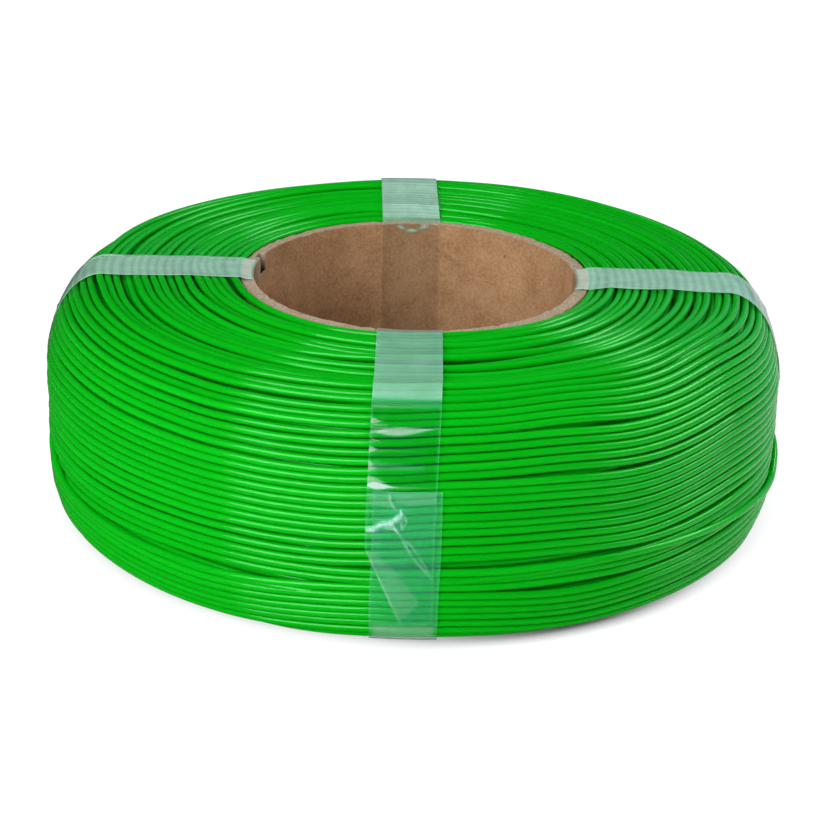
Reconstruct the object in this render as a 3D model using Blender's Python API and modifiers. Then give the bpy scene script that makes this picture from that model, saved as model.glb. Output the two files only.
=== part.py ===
"""Refill coil of 3D-printer filament: a cardboard core, the filament wound on it and four tape bands.

The coil lies flat on its tape bands, with the core's axis on Z and the bottom of the bands at Z = 0.
Units are metres. The front of the coil faces -Y.
"""

import math

import bmesh
import bpy
import numpy as np

# Cardboard core
CORE_BORE_DIAMETER = 0.0790
CORE_WALL = 0.0032
CORE_LENGTH = 0.0550
NOTCH_WIDTH = 0.0030
NOTCH_DEPTH = 0.0055
NOTCH_PLIES = 0.0017
NOTCH_AZIMUTH = math.radians(164.5)

# Wound filament
FILAMENT_DIAMETER = 0.00175
TURN_GAP = 0.00070
MOST_OUTER_TURNS = 22
FACE_LAND = 0.0015
WINDING_DIAMETER = 0.1800
WINDING_OVERHANG = 0.0006
TOP_SHOULDER_REACH = 0.0143
TOP_SHOULDER_DROP = 0.0236
BOTTOM_SHOULDER_REACH = 0.0049
BOTTOM_SHOULDER_RISE = 0.0132

# Tape bands
TAPE_WIDTH = 0.0150
TAPE_THICKNESS = 0.0001
TAPE_OVERLAP = 0.0300
TAPE_START_HEIGHT = 0.0040
TAPE_RAMP = 0.0030
TAPE_AZIMUTHS = {
    "tape_right": 0.0,
    "tape_back": math.radians(90.0),
    "tape_left": math.radians(180.0),
    "tape_front": math.radians(270.0),
}

# Gap that neighbouring pieces keep
CLEARANCE = 0.0003

# Fineness of the round shapes
LOOP_POINTS = 24
STEPS_PER_POINT = 3
TURNED_STEPS = LOOP_POINTS * STEPS_PER_POINT
SHOULDER_POINTS = 60
PROFILE_BEND = math.radians(9.0)
TAPE_STATIONS = 5
SHARP_BEND = math.radians(25.0)
ARC_STEPS = 3
BEND_MARGIN = 1.25
CUTTER_MARGIN = 0.002

# Sizes worked out from the ones above
CORE_INNER_RADIUS = CORE_BORE_DIAMETER / 2
CORE_OUTER_RADIUS = CORE_INNER_RADIUS + CORE_WALL
WINDING_WIDTH = CORE_LENGTH + 2 * WINDING_OVERHANG
WINDING_INNER_RADIUS = CORE_OUTER_RADIUS + CLEARANCE
WINDING_RADIUS = WINDING_DIAMETER / 2
TURN_PITCH = FILAMENT_DIAMETER + TURN_GAP
BAND_HEIGHT = CLEARANCE + TAPE_THICKNESS
MIDDLE_HEIGHT = BAND_HEIGHT + max(WINDING_WIDTH, CORE_LENGTH) / 2
WINDING_BOTTOM = MIDDLE_HEIGHT - WINDING_WIDTH / 2
WINDING_TOP = MIDDLE_HEIGHT + WINDING_WIDTH / 2
CORE_BOTTOM = MIDDLE_HEIGHT - CORE_LENGTH / 2
CORE_TOP = MIDDLE_HEIGHT + CORE_LENGTH / 2
LOOP_SAG = WINDING_RADIUS * (1 - math.cos(math.pi / LOOP_POINTS))
LAYER_DEPTH = FILAMENT_DIAMETER + CLEARANCE + LOOP_SAG
LAYER_MARGIN = FILAMENT_DIAMETER / 2 + CLEARANCE + LOOP_SAG


def clear_scene():
    """Removes every object of the scene."""
    for obj in list(bpy.data.objects):
        bpy.data.objects.remove(obj)


def new_collection(name, hidden=False):
    """A collection in the scene; a hidden one holds the cutters."""
    collection = bpy.data.collections.new(name)
    collection.hide_render = hidden
    bpy.context.scene.collection.children.link(collection)
    return collection


def plain_material(name, colour, roughness, alpha=1.0):
    """A Principled BSDF of one colour."""
    material = bpy.data.materials.new(name)
    material.use_nodes = True
    shader = material.node_tree.nodes["Principled BSDF"]
    shader.inputs["Base Color"].default_value = (*colour, 1.0)
    shader.inputs["Roughness"].default_value = roughness
    shader.inputs["Metallic"].default_value = 0.0
    shader.inputs["Alpha"].default_value = alpha
    return material


def turned(name, outline, material, collection):
    """A solid of revolution about Z from a closed outline of (radius, height) points.

    The outline runs down the outer side, from top to bottom, and back up the inner side.
    """
    mesh = bpy.data.meshes.new(name)
    corners = [(radius, 0.0, height) for radius, height in outline]
    sides = [(i, (i + 1) % len(corners)) for i in range(len(corners))]
    mesh.from_pydata(corners, sides, [])
    obj = bpy.data.objects.new(name, mesh)
    collection.objects.link(obj)
    screw = obj.modifiers.new("Screw", "SCREW")
    screw.axis = "Z"
    screw.angle = math.tau
    screw.steps = TURNED_STEPS
    screw.render_steps = TURNED_STEPS
    screw.use_merge_vertices = True
    screw.merge_threshold = 0.00001
    screw.use_smooth_shade = True
    obj.data.materials.append(material)
    return obj


class Skin:
    """The outer line of the winding's section, from the bottom face, over both shoulders, to the top face.

    Each shoulder is a quarter of an ellipse and the side between them is straight. Places on the line
    are given by the distance along it.
    """

    def __init__(self):
        turn = np.linspace(0.0, math.pi / 2, SHOULDER_POINTS)
        low = self._shoulder(turn[::-1], BOTTOM_SHOULDER_REACH, BOTTOM_SHOULDER_RISE, WINDING_BOTTOM, -1.0)
        high = self._shoulder(turn, TOP_SHOULDER_REACH, TOP_SHOULDER_DROP, WINDING_TOP, 1.0)
        self.points = np.concatenate([low[0], high[0]])
        self.normals = np.concatenate([low[1], high[1]])
        steps = np.linalg.norm(np.diff(self.points, axis=0), axis=1)
        self.along = np.concatenate([[0.0], np.cumsum(steps)])
        self.length = self.along[-1]

    @staticmethod
    def _shoulder(turn, reach, rise, face, side):
        """Points and outward normals of one quarter ellipse; side is 1 at the top and -1 at the bottom."""
        radius = WINDING_RADIUS - reach + reach * np.cos(turn)
        height = face - side * rise * (1 - np.sin(turn))
        normals = np.stack([np.cos(turn) / reach, side * np.sin(turn) / rise], axis=1)
        normals /= np.linalg.norm(normals, axis=1, keepdims=True)
        return np.stack([radius, height], axis=1), normals

    def at(self, along, depth=0.0):
        """The points at these distances along the line, sunk by depth below the skin."""
        point = np.stack([np.interp(along, self.along, self.points[:, i]) for i in (0, 1)], axis=-1)
        normal = np.stack([np.interp(along, self.along, self.normals[:, i]) for i in (0, 1)], axis=-1)
        normal /= np.linalg.norm(normal, axis=-1, keepdims=True)
        return point - depth * normal

    def stations(self, start, end):
        """Distances from start up to end, one at each equal turn of the line, with both ends."""
        angle = np.unwrap(np.arctan2(self.normals[:, 1], self.normals[:, 0]))
        turns = np.linspace(angle[0], angle[-1], round((angle[-1] - angle[0]) / PROFILE_BEND) + 1)
        rising = angle + 1e-6 * self.along / self.length
        places = np.interp(turns, rising, self.along)
        straight = self.along[[SHOULDER_POINTS - 1, SHOULDER_POINTS]]
        places = np.unique(np.concatenate([places, straight]).round(6))
        inside = places[(places > start + 1e-5) & (places < end - 1e-5)]
        return np.concatenate([[start], inside, [end]])

    def gentle_start(self):
        """The lowest place whose bend, and every bend above it, is wide enough to carry the outer layer."""
        angle = np.unwrap(np.arctan2(self.normals[:, 1], self.normals[:, 0]))
        bend = np.diff(self.along) / np.maximum(np.abs(np.diff(angle)), 1e-9)
        lower_half = self.along[1:] < self.length / 2
        tight = np.flatnonzero((bend < LAYER_DEPTH * BEND_MARGIN) & lower_half)
        return self.along[tight[-1] + 1] if len(tight) else 0.0


class OuterLayer:
    """Where the outermost turns of filament lie: half a filament below the skin, one pitch apart."""

    def __init__(self, skin):
        self.skin = skin
        centres = skin.at(skin.along, FILAMENT_DIAMETER / 2)
        steps = np.linalg.norm(np.diff(centres, axis=0), axis=1)
        self.travelled = np.concatenate([[0.0], np.cumsum(steps)])
        self.floor_start = skin.gentle_start()
        self.start = float(np.interp(self.floor_start, skin.along, self.travelled)) + LAYER_MARGIN
        room = self.travelled[-1] - LAYER_MARGIN - self.start
        self.turns = min(MOST_OUTER_TURNS, int(room / TURN_PITCH))
        end = self.start + self.turns * TURN_PITCH
        self.floor_end = float(np.interp(end + LAYER_MARGIN, self.travelled, skin.along))

    def centre_at(self, turn):
        """The (radius, height) of the filament's centre after this many turns."""
        along = np.interp(self.start + TURN_PITCH * turn, self.travelled, self.skin.along)
        return self.skin.at(along, FILAMENT_DIAMETER / 2)


def make_core(material, collection, cutters):
    """The cardboard tube, with the key notch cut down into the inner plies of its top rim."""
    outline = [
        (CORE_INNER_RADIUS, CORE_TOP),
        (CORE_OUTER_RADIUS, CORE_TOP),
        (CORE_OUTER_RADIUS, CORE_BOTTOM),
        (CORE_INNER_RADIUS, CORE_BOTTOM),
    ]
    core = turned("core_tube", outline, material, collection)

    cutter_mesh = bpy.data.meshes.new("notch_cutter")
    shape = bmesh.new()
    bmesh.ops.create_cube(shape, size=1.0)
    size = (NOTCH_PLIES + CUTTER_MARGIN, NOTCH_WIDTH, NOTCH_DEPTH + CUTTER_MARGIN)
    bmesh.ops.scale(shape, vec=size, verts=shape.verts)
    shape.to_mesh(cutter_mesh)
    shape.free()
    cutter = bpy.data.objects.new("notch_cutter", cutter_mesh)
    cutters.objects.link(cutter)
    middle = CORE_INNER_RADIUS + NOTCH_PLIES - size[0] / 2
    height = CORE_TOP - NOTCH_DEPTH + size[2] / 2
    cutter.location = (middle * math.cos(NOTCH_AZIMUTH), middle * math.sin(NOTCH_AZIMUTH), height)
    cutter.rotation_euler = (0.0, 0.0, NOTCH_AZIMUTH)
    cutter.hide_render = True
    cutter.display_type = "WIRE"
    cut = core.modifiers.new("Notch", "BOOLEAN")
    cut.operation = "DIFFERENCE"
    cut.object = cutter
    return core


class RibbedFace:
    """A face of the winding, where the last turn of each layer shows as one spiral rib, a pitch a turn.

    The crest of the rib lies in the face and the groove beside it is one filament deep. Both run out at
    the flat lands along the inner and the outer edge. Side is 1 for the top face and -1 for the bottom one.
    """

    def __init__(self, shape, outer_radius, height, side):
        self.shape = shape
        self.height = height
        self.side = side
        room = outer_radius - WINDING_INNER_RADIUS - 2 * FACE_LAND
        self.turns = int(room / TURN_PITCH)
        self.start_radius = (outer_radius + WINDING_INNER_RADIUS - self.turns * TURN_PITCH) / 2
        self.corners = {}

    def corner(self, point, place):
        """The corner at this point of the circle and this place outwards, both in points of a loop."""
        place = min(max(place, 0), self.turns * LOOP_POINTS)
        key = (point % LOOP_POINTS, place)
        if key not in self.corners:
            angle = math.tau * point / LOOP_POINTS
            outwards = place / LOOP_POINTS
            radius = self.start_radius + TURN_PITCH * outwards
            in_groove = (place - point) % LOOP_POINTS != 0
            run_out = min(1.0, 2 * outwards, 2 * (self.turns - outwards))
            depth = FILAMENT_DIAMETER * run_out if in_groove else 0.0
            height = self.height - self.side * depth
            spot = (radius * math.cos(angle), radius * math.sin(angle), height)
            self.corners[key] = self.shape.verts.new(spot)
        return self.corners[key]

    def make_rib(self):
        """The strips from crest to groove and from groove to crest, all along the spiral."""
        half = LOOP_POINTS // 2
        for point in range(LOOP_POINTS):
            for strip in range(2 * self.turns + 2):
                place = half * strip - LOOP_POINTS + point
                around = [
                    self.corner(point, place),
                    self.corner(point, place + half),
                    self.corner(point + 1, place + half + 1),
                    self.corner(point + 1, place + 1),
                ]
                apart = list(dict.fromkeys(around))
                if len(apart) > 2:
                    self.shape.faces.new(apart)

    def make_land(self, edge, place):
        """The flat land between an edge of the face, which has finer steps, and the rib's end there."""
        for point in range(LOOP_POINTS):
            first = point * STEPS_PER_POINT
            steps = [edge[(first + step) % TURNED_STEPS] for step in range(STEPS_PER_POINT, -1, -1)]
            self.shape.faces.new([self.corner(point, place), self.corner(point + 1, place), *steps])

    def make(self, inner_edge, outer_edge):
        """The whole face between its two edges."""
        self.make_rib()
        self.make_land(inner_edge, 0)
        self.make_land(outer_edge, self.turns * LOOP_POINTS)


def circle_of_corners(shape, radius, height):
    """The corners of one circle about Z."""
    angles = [math.tau * step / TURNED_STEPS for step in range(TURNED_STEPS)]
    return [shape.verts.new((radius * math.cos(angle), radius * math.sin(angle), height)) for angle in angles]


def join_circles(shape, upper, lower):
    """The faces between two circles of corners."""
    for step in range(TURNED_STEPS):
        after = (step + 1) % TURNED_STEPS
        shape.faces.new([upper[step], lower[step], lower[after], upper[after]])


def make_winding(skin, layer, material, collection):
    """The inner layers of filament as one ring, with a seat for the outer layer all round its side.

    Its two faces are ribbed by the turns that show there.
    """
    above = skin.at(skin.stations(layer.floor_end, skin.length))
    seat = skin.at(skin.stations(layer.floor_start, layer.floor_end), LAYER_DEPTH)
    below = skin.at(skin.stations(0.0, layer.floor_start))
    outer_line = np.concatenate([above[::-1], seat[::-1], below[::-1]])

    shape = bmesh.new()
    outer = [circle_of_corners(shape, radius, height) for radius, height in outer_line.tolist()]
    for upper, lower in zip(outer, outer[1:]):
        join_circles(shape, upper, lower)
    inner_top = circle_of_corners(shape, WINDING_INNER_RADIUS, WINDING_TOP)
    inner_bottom = circle_of_corners(shape, WINDING_INNER_RADIUS, WINDING_BOTTOM)
    join_circles(shape, inner_top, inner_bottom)
    top_face = RibbedFace(shape, outer_line[0, 0], WINDING_TOP, 1.0)
    top_face.make(inner_top, outer[0])
    bottom_face = RibbedFace(shape, outer_line[-1, 0], WINDING_BOTTOM, -1.0)
    bottom_face.make(inner_bottom, outer[-1])
    print(f"ribs of the winding: {top_face.turns} turns on the top, {bottom_face.turns} on the bottom")
    bmesh.ops.recalc_face_normals(shape, faces=shape.faces)

    mesh = bpy.data.meshes.new("filament_winding")
    shape.to_mesh(mesh)
    shape.free()
    mesh.materials.append(material)
    collection.objects.link(bpy.data.objects.new("filament_winding", mesh))


def outer_turns_path(layer):
    """The centre line of the outer turns: a helix that climbs the skin by one pitch a turn."""
    count = layer.turns * LOOP_POINTS + 1
    turn = np.arange(count) / LOOP_POINTS
    place = layer.centre_at(turn)
    angle = math.tau * turn
    return np.stack([place[:, 0] * np.cos(angle), place[:, 0] * np.sin(angle), place[:, 1]], axis=1)


def least_gap(path):
    """The least free distance between the tube along this path and its own other turns."""
    count = len(path)
    apart = np.linalg.norm(path[:, None, :] - path[None, :, :], axis=2)
    index = np.arange(count)
    same_turn = np.abs(index[:, None] - index[None, :]) < LOOP_POINTS // 2
    return apart[~same_turn].min() - FILAMENT_DIAMETER


def make_outer_turns(layer, material, collection):
    """The outermost turns of filament as one unbroken tube."""
    path = outer_turns_path(layer)
    print(f"outer turns: {layer.turns}, least gap {least_gap(path) * 1000:.2f} mm")
    curve = bpy.data.curves.new("filament_outer_turns", "CURVE")
    curve.dimensions = "3D"
    curve.bevel_depth = FILAMENT_DIAMETER / 2
    curve.bevel_resolution = 1
    curve.use_fill_caps = True
    spline = curve.splines.new("POLY")
    spline.points.add(len(path) - 1)
    spline.points.foreach_set("co", np.column_stack([path, np.ones(len(path))]).ravel())
    obj = bpy.data.objects.new("filament_outer_turns", curve)
    collection.objects.link(obj)
    curve.materials.append(material)
    return obj


def convex_outline(points):
    """The convex hull of (radius, height) points, counter-clockwise, from the lowest leftmost point."""
    ordered = sorted(set(map(tuple, np.round(points, 7).tolist())))

    def half(sequence):
        chain = []
        for point in sequence:
            while len(chain) > 1:
                ax, ay = np.subtract(chain[-1], chain[-2])
                bx, by = np.subtract(point, chain[-2])
                if ax * by - ay * bx > 1e-12:
                    break
                chain.pop()
            chain.append(point)
        return chain[:-1]

    return np.array(half(ordered) + half(ordered[::-1]))


class BandPath:
    """The line that a taut band takes round the coil's section: its convex hull, lifted by the clearance."""

    def __init__(self, skin):
        winding = skin.at(skin.stations(0.0, skin.length))
        core_ends = [(CORE_INNER_RADIUS, CORE_BOTTOM), (CORE_INNER_RADIUS, CORE_TOP)]
        inner_edges = [(WINDING_INNER_RADIUS, WINDING_BOTTOM), (WINDING_INNER_RADIUS, WINDING_TOP)]
        hull = convex_outline(np.concatenate([winding, core_ends, inner_edges]))
        edges = np.roll(hull, -1, axis=0) - hull
        facing = np.arctan2(-edges[:, 0], edges[:, 1])
        bases = []
        angles = []
        for point, before, after in zip(hull, np.roll(facing, 1), facing):
            swing = (after - before) % math.tau
            shares = [0.5] if swing < SHARP_BEND else np.linspace(0.0, 1.0, ARC_STEPS + 1)
            for share in shares:
                bases.append(point)
                angles.append(before + share * swing)
        self.normals = np.stack([np.cos(angles), np.sin(angles)], axis=1)
        self.points = np.array(bases) + self.normals * (CLEARANCE + TAPE_THICKNESS / 2)
        steps = np.linalg.norm(np.roll(self.points, -1, axis=0) - self.points, axis=1)
        self.along = np.concatenate([[0.0], np.cumsum(steps)])
        self.length = self.along[-1]

    def at(self, along, lift):
        """The points at these distances round the band, each lifted off the first lap by its lift."""
        wrapped = np.mod(along, self.length)
        columns = [np.append(column, column[0]) for column in (*self.points.T, *self.normals.T)]
        radius, height, across, up = (np.interp(wrapped, self.along, column) for column in columns)
        return np.stack([radius + lift * across, height + lift * up], axis=1)

    def start_on_side(self, height):
        """The distance at which the outer side of the band passes this height."""
        outer = np.flatnonzero(self.points[:, 0] > CORE_OUTER_RADIUS)
        rising = outer[(self.points[outer, 1] < MIDDLE_HEIGHT) & (self.normals[outer, 0] > 0.0)]
        return float(np.interp(height, self.points[rising, 1], self.along[rising]))


def make_tape_mesh(band, material):
    """One length of tape, once round the section and over its own start, as a surface without thickness."""
    start = band.start_on_side(WINDING_BOTTOM + TAPE_START_HEIGHT)
    end = start + band.length + TAPE_OVERLAP
    corners = np.concatenate([band.along[:-1], band.along[:-1] + band.length])
    lapped = start + band.length
    places = np.concatenate([corners, [start, lapped - TAPE_RAMP, lapped, end]])
    places = np.unique(np.round(places[(places >= start) & (places <= end)], 6))
    climb = np.clip((places - lapped + TAPE_RAMP) / TAPE_RAMP, 0.0, 1.0)
    line = band.at(places, climb * (TAPE_THICKNESS + CLEARANCE))

    mesh = bpy.data.meshes.new("tape_band")
    shape = bmesh.new()
    stations = np.linspace(-TAPE_WIDTH / 2, TAPE_WIDTH / 2, TAPE_STATIONS)
    row = [shape.verts.new((radius, stations[0], height)) for radius, height in line]
    edges = [shape.edges.new(pair) for pair in zip(row, row[1:])]
    for step in np.diff(stations):
        made = bmesh.ops.extrude_edge_only(shape, edges=edges)["geom"]
        edges = [item for item in made if isinstance(item, bmesh.types.BMEdge)]
        row = [item for item in made if isinstance(item, bmesh.types.BMVert)]
        edges = [edge for edge in edges if edge.verts[0] in row and edge.verts[1] in row]
        bmesh.ops.translate(shape, vec=(0.0, step, 0.0), verts=row)
    for vert in shape.verts:
        # The film lies round the coil, so it falls back with the circle to each side of its middle.
        vert.co.x = math.sqrt(vert.co.x**2 - vert.co.y**2)
    bmesh.ops.recalc_face_normals(shape, faces=shape.faces)
    shape.to_mesh(mesh)
    shape.free()
    mesh.materials.append(material)
    return mesh


def make_tapes(skin, material, collection):
    """Four equal bands, each turned to its place round the coil."""
    mesh = make_tape_mesh(BandPath(skin), material)
    for name, azimuth in TAPE_AZIMUTHS.items():
        tape = bpy.data.objects.new(name, mesh)
        collection.objects.link(tape)
        tape.rotation_euler = (0.0, 0.0, azimuth)
        solid = tape.modifiers.new("Film", "SOLIDIFY")
        solid.thickness = TAPE_THICKNESS
        solid.offset = 0.0
        solid.use_rim = True


def main():
    clear_scene()
    coil = new_collection("filament_refill_coil")
    cutters = new_collection("cutters", hidden=True)
    kraft = plain_material("kraft_cardboard", (0.33, 0.19, 0.10), 0.9)
    green = plain_material("green_filament", (0.0, 0.42, 0.02), 0.35)
    film = plain_material("clear_tape", (0.85, 0.9, 0.87), 0.15, alpha=0.35)

    skin = Skin()
    layer = OuterLayer(skin)
    make_core(kraft, coil, cutters)
    make_winding(skin, layer, green, coil)
    make_outer_turns(layer, green, coil)
    make_tapes(skin, film, coil)


main()
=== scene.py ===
"""Dresses the refill coil of green filament: its wound strand, its cardboard core and its clear tape bands.

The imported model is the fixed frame, in metres, with the core's axis on Z and the coil resting on Z = 0. The
front of the coil faces -Y. Every new piece is a surface worked out with numpy on a grid of two parameters.
"""

from __future__ import annotations

import logging
import math
from dataclasses import dataclass, field
from enum import Enum

import bpy
import numpy as np
from mathutils import Matrix, Vector

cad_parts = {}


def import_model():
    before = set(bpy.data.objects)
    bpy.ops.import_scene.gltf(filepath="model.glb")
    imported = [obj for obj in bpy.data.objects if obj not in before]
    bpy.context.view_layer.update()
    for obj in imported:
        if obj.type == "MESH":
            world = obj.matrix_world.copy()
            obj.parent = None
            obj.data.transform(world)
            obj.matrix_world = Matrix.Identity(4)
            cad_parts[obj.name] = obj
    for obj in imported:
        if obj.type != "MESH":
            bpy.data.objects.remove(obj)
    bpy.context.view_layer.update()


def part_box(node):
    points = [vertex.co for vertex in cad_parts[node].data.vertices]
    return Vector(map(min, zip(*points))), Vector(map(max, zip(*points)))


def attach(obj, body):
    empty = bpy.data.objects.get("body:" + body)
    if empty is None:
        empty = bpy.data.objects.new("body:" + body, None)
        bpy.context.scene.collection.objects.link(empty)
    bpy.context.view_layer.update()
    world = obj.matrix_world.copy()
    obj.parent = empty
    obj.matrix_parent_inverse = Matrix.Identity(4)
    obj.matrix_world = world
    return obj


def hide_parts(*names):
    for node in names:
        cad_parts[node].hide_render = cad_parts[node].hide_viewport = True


LOG = logging.getLogger("filament_coil")
BODY = "root"
FILAMENT_DIAMETER = 0.00175
RIM_RISE = 0.0005
RIM_RISE_AZIMUTH = math.radians(125.0)
CORE_WALL = 0.0032
TAPE_WIDTH = 0.015


class Slot(Enum):
    """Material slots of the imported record."""

    FILAMENT = "green_filament"
    CARDBOARD = "kraft_cardboard"
    TAPE = "clear_tape"


class Zone(Enum):
    """Stretches of the winding's skin, from the bottom face, round the side, to the top face."""

    BOTTOM_FACE = "bottom_face"
    LOWER_SIDE = "lower_side"
    UPPER_SIDE = "upper_side"
    TOP_FACE = "top_face"


def smooth_noise(count: int, spacing: float, rng: np.random.Generator) -> np.ndarray:
    """Noise of unit spread: random knots, spacing samples apart, joined by a Catmull-Rom cubic.

    Args:
        count: How many samples.
        spacing: Samples from one knot to the next.
        rng: Source of the knots.

    Returns:
        The samples.
    """
    knots = rng.standard_normal(int(count / spacing) + 5)
    place = np.arange(count) / spacing + 1.0
    index = place.astype(int)
    part = place - index
    before, start, end, after = (knots[index + step] for step in (-1, 0, 1, 2))
    cubic = -before + 3.0 * start - 3.0 * end + after
    square = 2.0 * before - 5.0 * start + 4.0 * end - after
    return start + 0.5 * part * (end - before + part * (square + part * cubic))


def ease(value: np.ndarray, low: float, high: float) -> np.ndarray:
    """Smooth step: 0 below low, 1 above high, and 3t^2 - 2t^3 between them."""
    part = np.clip((value - low) / (high - low), 0.0, 1.0)
    return part * part * (3.0 - 2.0 * part)


def turn_from(azimuth: np.ndarray, marks: tuple[float, ...]) -> np.ndarray:
    """Angle from each azimuth to the nearest of these marks, in radians."""
    turns = [np.mod(azimuth - mark + math.pi, math.tau) - math.pi for mark in marks]
    return np.minimum.reduce(np.abs(turns))


@dataclass
class SurfaceGrid:
    """A surface on a grid of rows and columns, as one mesh of quads.

    Attributes:
        points: Corners, shaped (rows, columns, 3).
        close_rows: Whether the last row joins the first.
        close_columns: Whether the last column joins the first.
        cap_ends: Whether the first and last rows are filled, on a tube with closed columns.
        flip: Whether the faces are turned over.
        marks: Named numbers or vectors for each corner, which the finishes read.
    """

    points: np.ndarray
    close_rows: bool = False
    close_columns: bool = False
    cap_ends: bool = False
    flip: bool = False
    marks: dict[str, np.ndarray] = field(default_factory=dict)

    def mesh(self, name: str) -> bpy.types.Mesh:
        """Puts the grid into a new mesh.

        Args:
            name: The mesh's name.

        Returns:
            The mesh, shaded smooth, with its marks as attributes.
        """
        rows, columns = self.points.shape[:2]
        index = np.arange(rows * columns).reshape(rows, columns)
        if self.close_rows:
            index = np.concatenate([index, index[:1]])
        if self.close_columns:
            index = np.concatenate([index, index[:, :1]], axis=1)
        quads = np.stack([index[:-1, :-1], index[1:, :-1], index[1:, 1:], index[:-1, 1:]], axis=-1)
        quads = quads.reshape(-1, 4)
        loops = (quads[:, ::-1] if self.flip else quads).ravel()
        totals = np.full(len(quads), 4)
        if self.cap_ends:
            first = np.arange(columns)
            last = (rows - 1) * columns + first[::-1]
            loops = np.concatenate([loops, first, last])
            totals = np.concatenate([totals, [columns, columns]])
        starts = np.concatenate([[0], np.cumsum(totals)[:-1]])

        mesh = bpy.data.meshes.new(name)
        mesh.vertices.add(rows * columns)
        mesh.vertices.foreach_set("co", self.points.astype(np.float32).ravel())
        mesh.loops.add(len(loops))
        mesh.loops.foreach_set("vertex_index", loops.astype(np.int32))
        mesh.polygons.add(len(totals))
        mesh.polygons.foreach_set("loop_start", starts.astype(np.int32))
        for mark, values in self.marks.items():
            if values.ndim == self.points.ndim:
                mesh.attributes.new(mark, "FLOAT_VECTOR", "POINT").data.foreach_set(
                    "vector", values.astype(np.float32).ravel()
                )
            else:
                mesh.attributes.new(mark, "FLOAT", "POINT").data.foreach_set(
                    "value", values.astype(np.float32).ravel()
                )
        mesh.update(calc_edges=True)
        mesh.validate()
        mesh.shade_smooth()
        return mesh


def place_piece(
    name: str, grid: SurfaceGrid, material: bpy.types.Material, slot: Slot, *stands_for: str
) -> bpy.types.Object:
    """Makes a piece of the coil from its grid and hangs it on the frame.

    Args:
        name: The piece's name.
        grid: Its surface.
        material: Its finish.
        slot: The record's material slot for it; not used.
        *stands_for: The CAD nodes that it replaces.

    Returns:
        The new object.
    """
    obj = bpy.data.objects.new(name, grid.mesh(name))
    bpy.context.scene.collection.objects.link(obj)
    obj.data.materials.append(material)
    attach(obj, BODY)
    if stands_for:
        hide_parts(*stands_for)
    LOG.info("%s: %d faces", name, len(obj.data.polygons))
    return obj


class NodeSketch:
    """A material's node tree, written node by node."""

    def __init__(self, name: str) -> None:
        """Starts an empty material of this name."""
        self.material = bpy.data.materials.new(name)
        self.material.use_nodes = True
        self.tree = self.material.node_tree
        self.tree.nodes.clear()

    def node(self, kind: str, settings: dict[str, object] | None = None, **inputs: object) -> bpy.types.Node:
        """Adds a node.

        Args:
            kind: Its type, without the ShaderNode prefix.
            settings: Properties of the node itself.
            **inputs: Values or output sockets for its inputs, by name with underscores for spaces.

        Returns:
            The node.
        """
        made = self.tree.nodes.new("ShaderNode" + kind)
        for key, value in (settings or {}).items():
            setattr(made, key, value)
        for key, value in inputs.items():
            self.feed(made.inputs[key.replace("_", " ")], value)
        return made

    def feed(self, socket: bpy.types.NodeSocket, value: object) -> None:
        """Links an output to a socket, or sets the socket's value."""
        if isinstance(value, bpy.types.NodeSocket):
            self.tree.links.new(value, socket)
        else:
            socket.default_value = value

    def math(self, operation: str, first: object, second: object = 0.0) -> bpy.types.NodeSocket:
        """The result of a Math node on two values or sockets."""
        made = self.node("Math", {"operation": operation})
        self.feed(made.inputs[0], first)
        self.feed(made.inputs[1], second)
        return made.outputs[0]

    def ramp(
        self, value: object, low: float, high: float, to_low: float, to_high: float
    ) -> bpy.types.NodeSocket:
        """Maps value from low..high to to_low..to_high, clamped."""
        made = self.node(
            "MapRange", None, Value=value, From_Min=low, From_Max=high, To_Min=to_low, To_Max=to_high
        )
        return made.outputs["Result"]

    def noise(
        self, vector: object, scale: float, detail: float = 2.0, rough: float = 0.5
    ) -> bpy.types.NodeSocket:
        """The factor of a Noise Texture at this vector."""
        made = self.node("TexNoise", None, Vector=vector, Scale=scale, Detail=detail, Roughness=rough)
        return made.outputs["Fac"]

    def mark(self, name: str) -> bpy.types.Node:
        """The Attribute node that reads one of the mesh's marks."""
        return self.node("Attribute", {"attribute_name": name})

    def scaled(self, vector: object, scale: tuple[float, float, float]) -> bpy.types.NodeSocket:
        """A vector times a scale on each axis."""
        made = self.node("VectorMath", {"operation": "MULTIPLY"})
        self.feed(made.inputs[0], vector)
        made.inputs[1].default_value = scale
        return made.outputs[0]

    def blend(self, share: object, first: object, second: object) -> bpy.types.NodeSocket:
        """A colour between two colours."""
        made = self.node("Mix", {"data_type": "RGBA"})
        self.feed(made.inputs[0], share)
        self.feed(made.inputs[6], first)
        self.feed(made.inputs[7], second)
        return made.outputs[2]

    def bump(self, height: object, strength: float, distance: float) -> bpy.types.NodeSocket:
        """A normal that is tilted by a height."""
        made = self.node("Bump", None, Height=height, Strength=strength, Distance=distance)
        return made.outputs["Normal"]

    def surface(self, shader: bpy.types.NodeSocket) -> bpy.types.Material:
        """Ends the tree with this shader and gives the material."""
        self.node("OutputMaterial", None, Surface=shader)
        return self.material


Colour = tuple[float, float, float, float]
BLACK: Colour = (0.0, 0.0, 0.0, 1.0)
WHITE: Colour = (1.0, 1.0, 1.0, 1.0)


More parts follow.
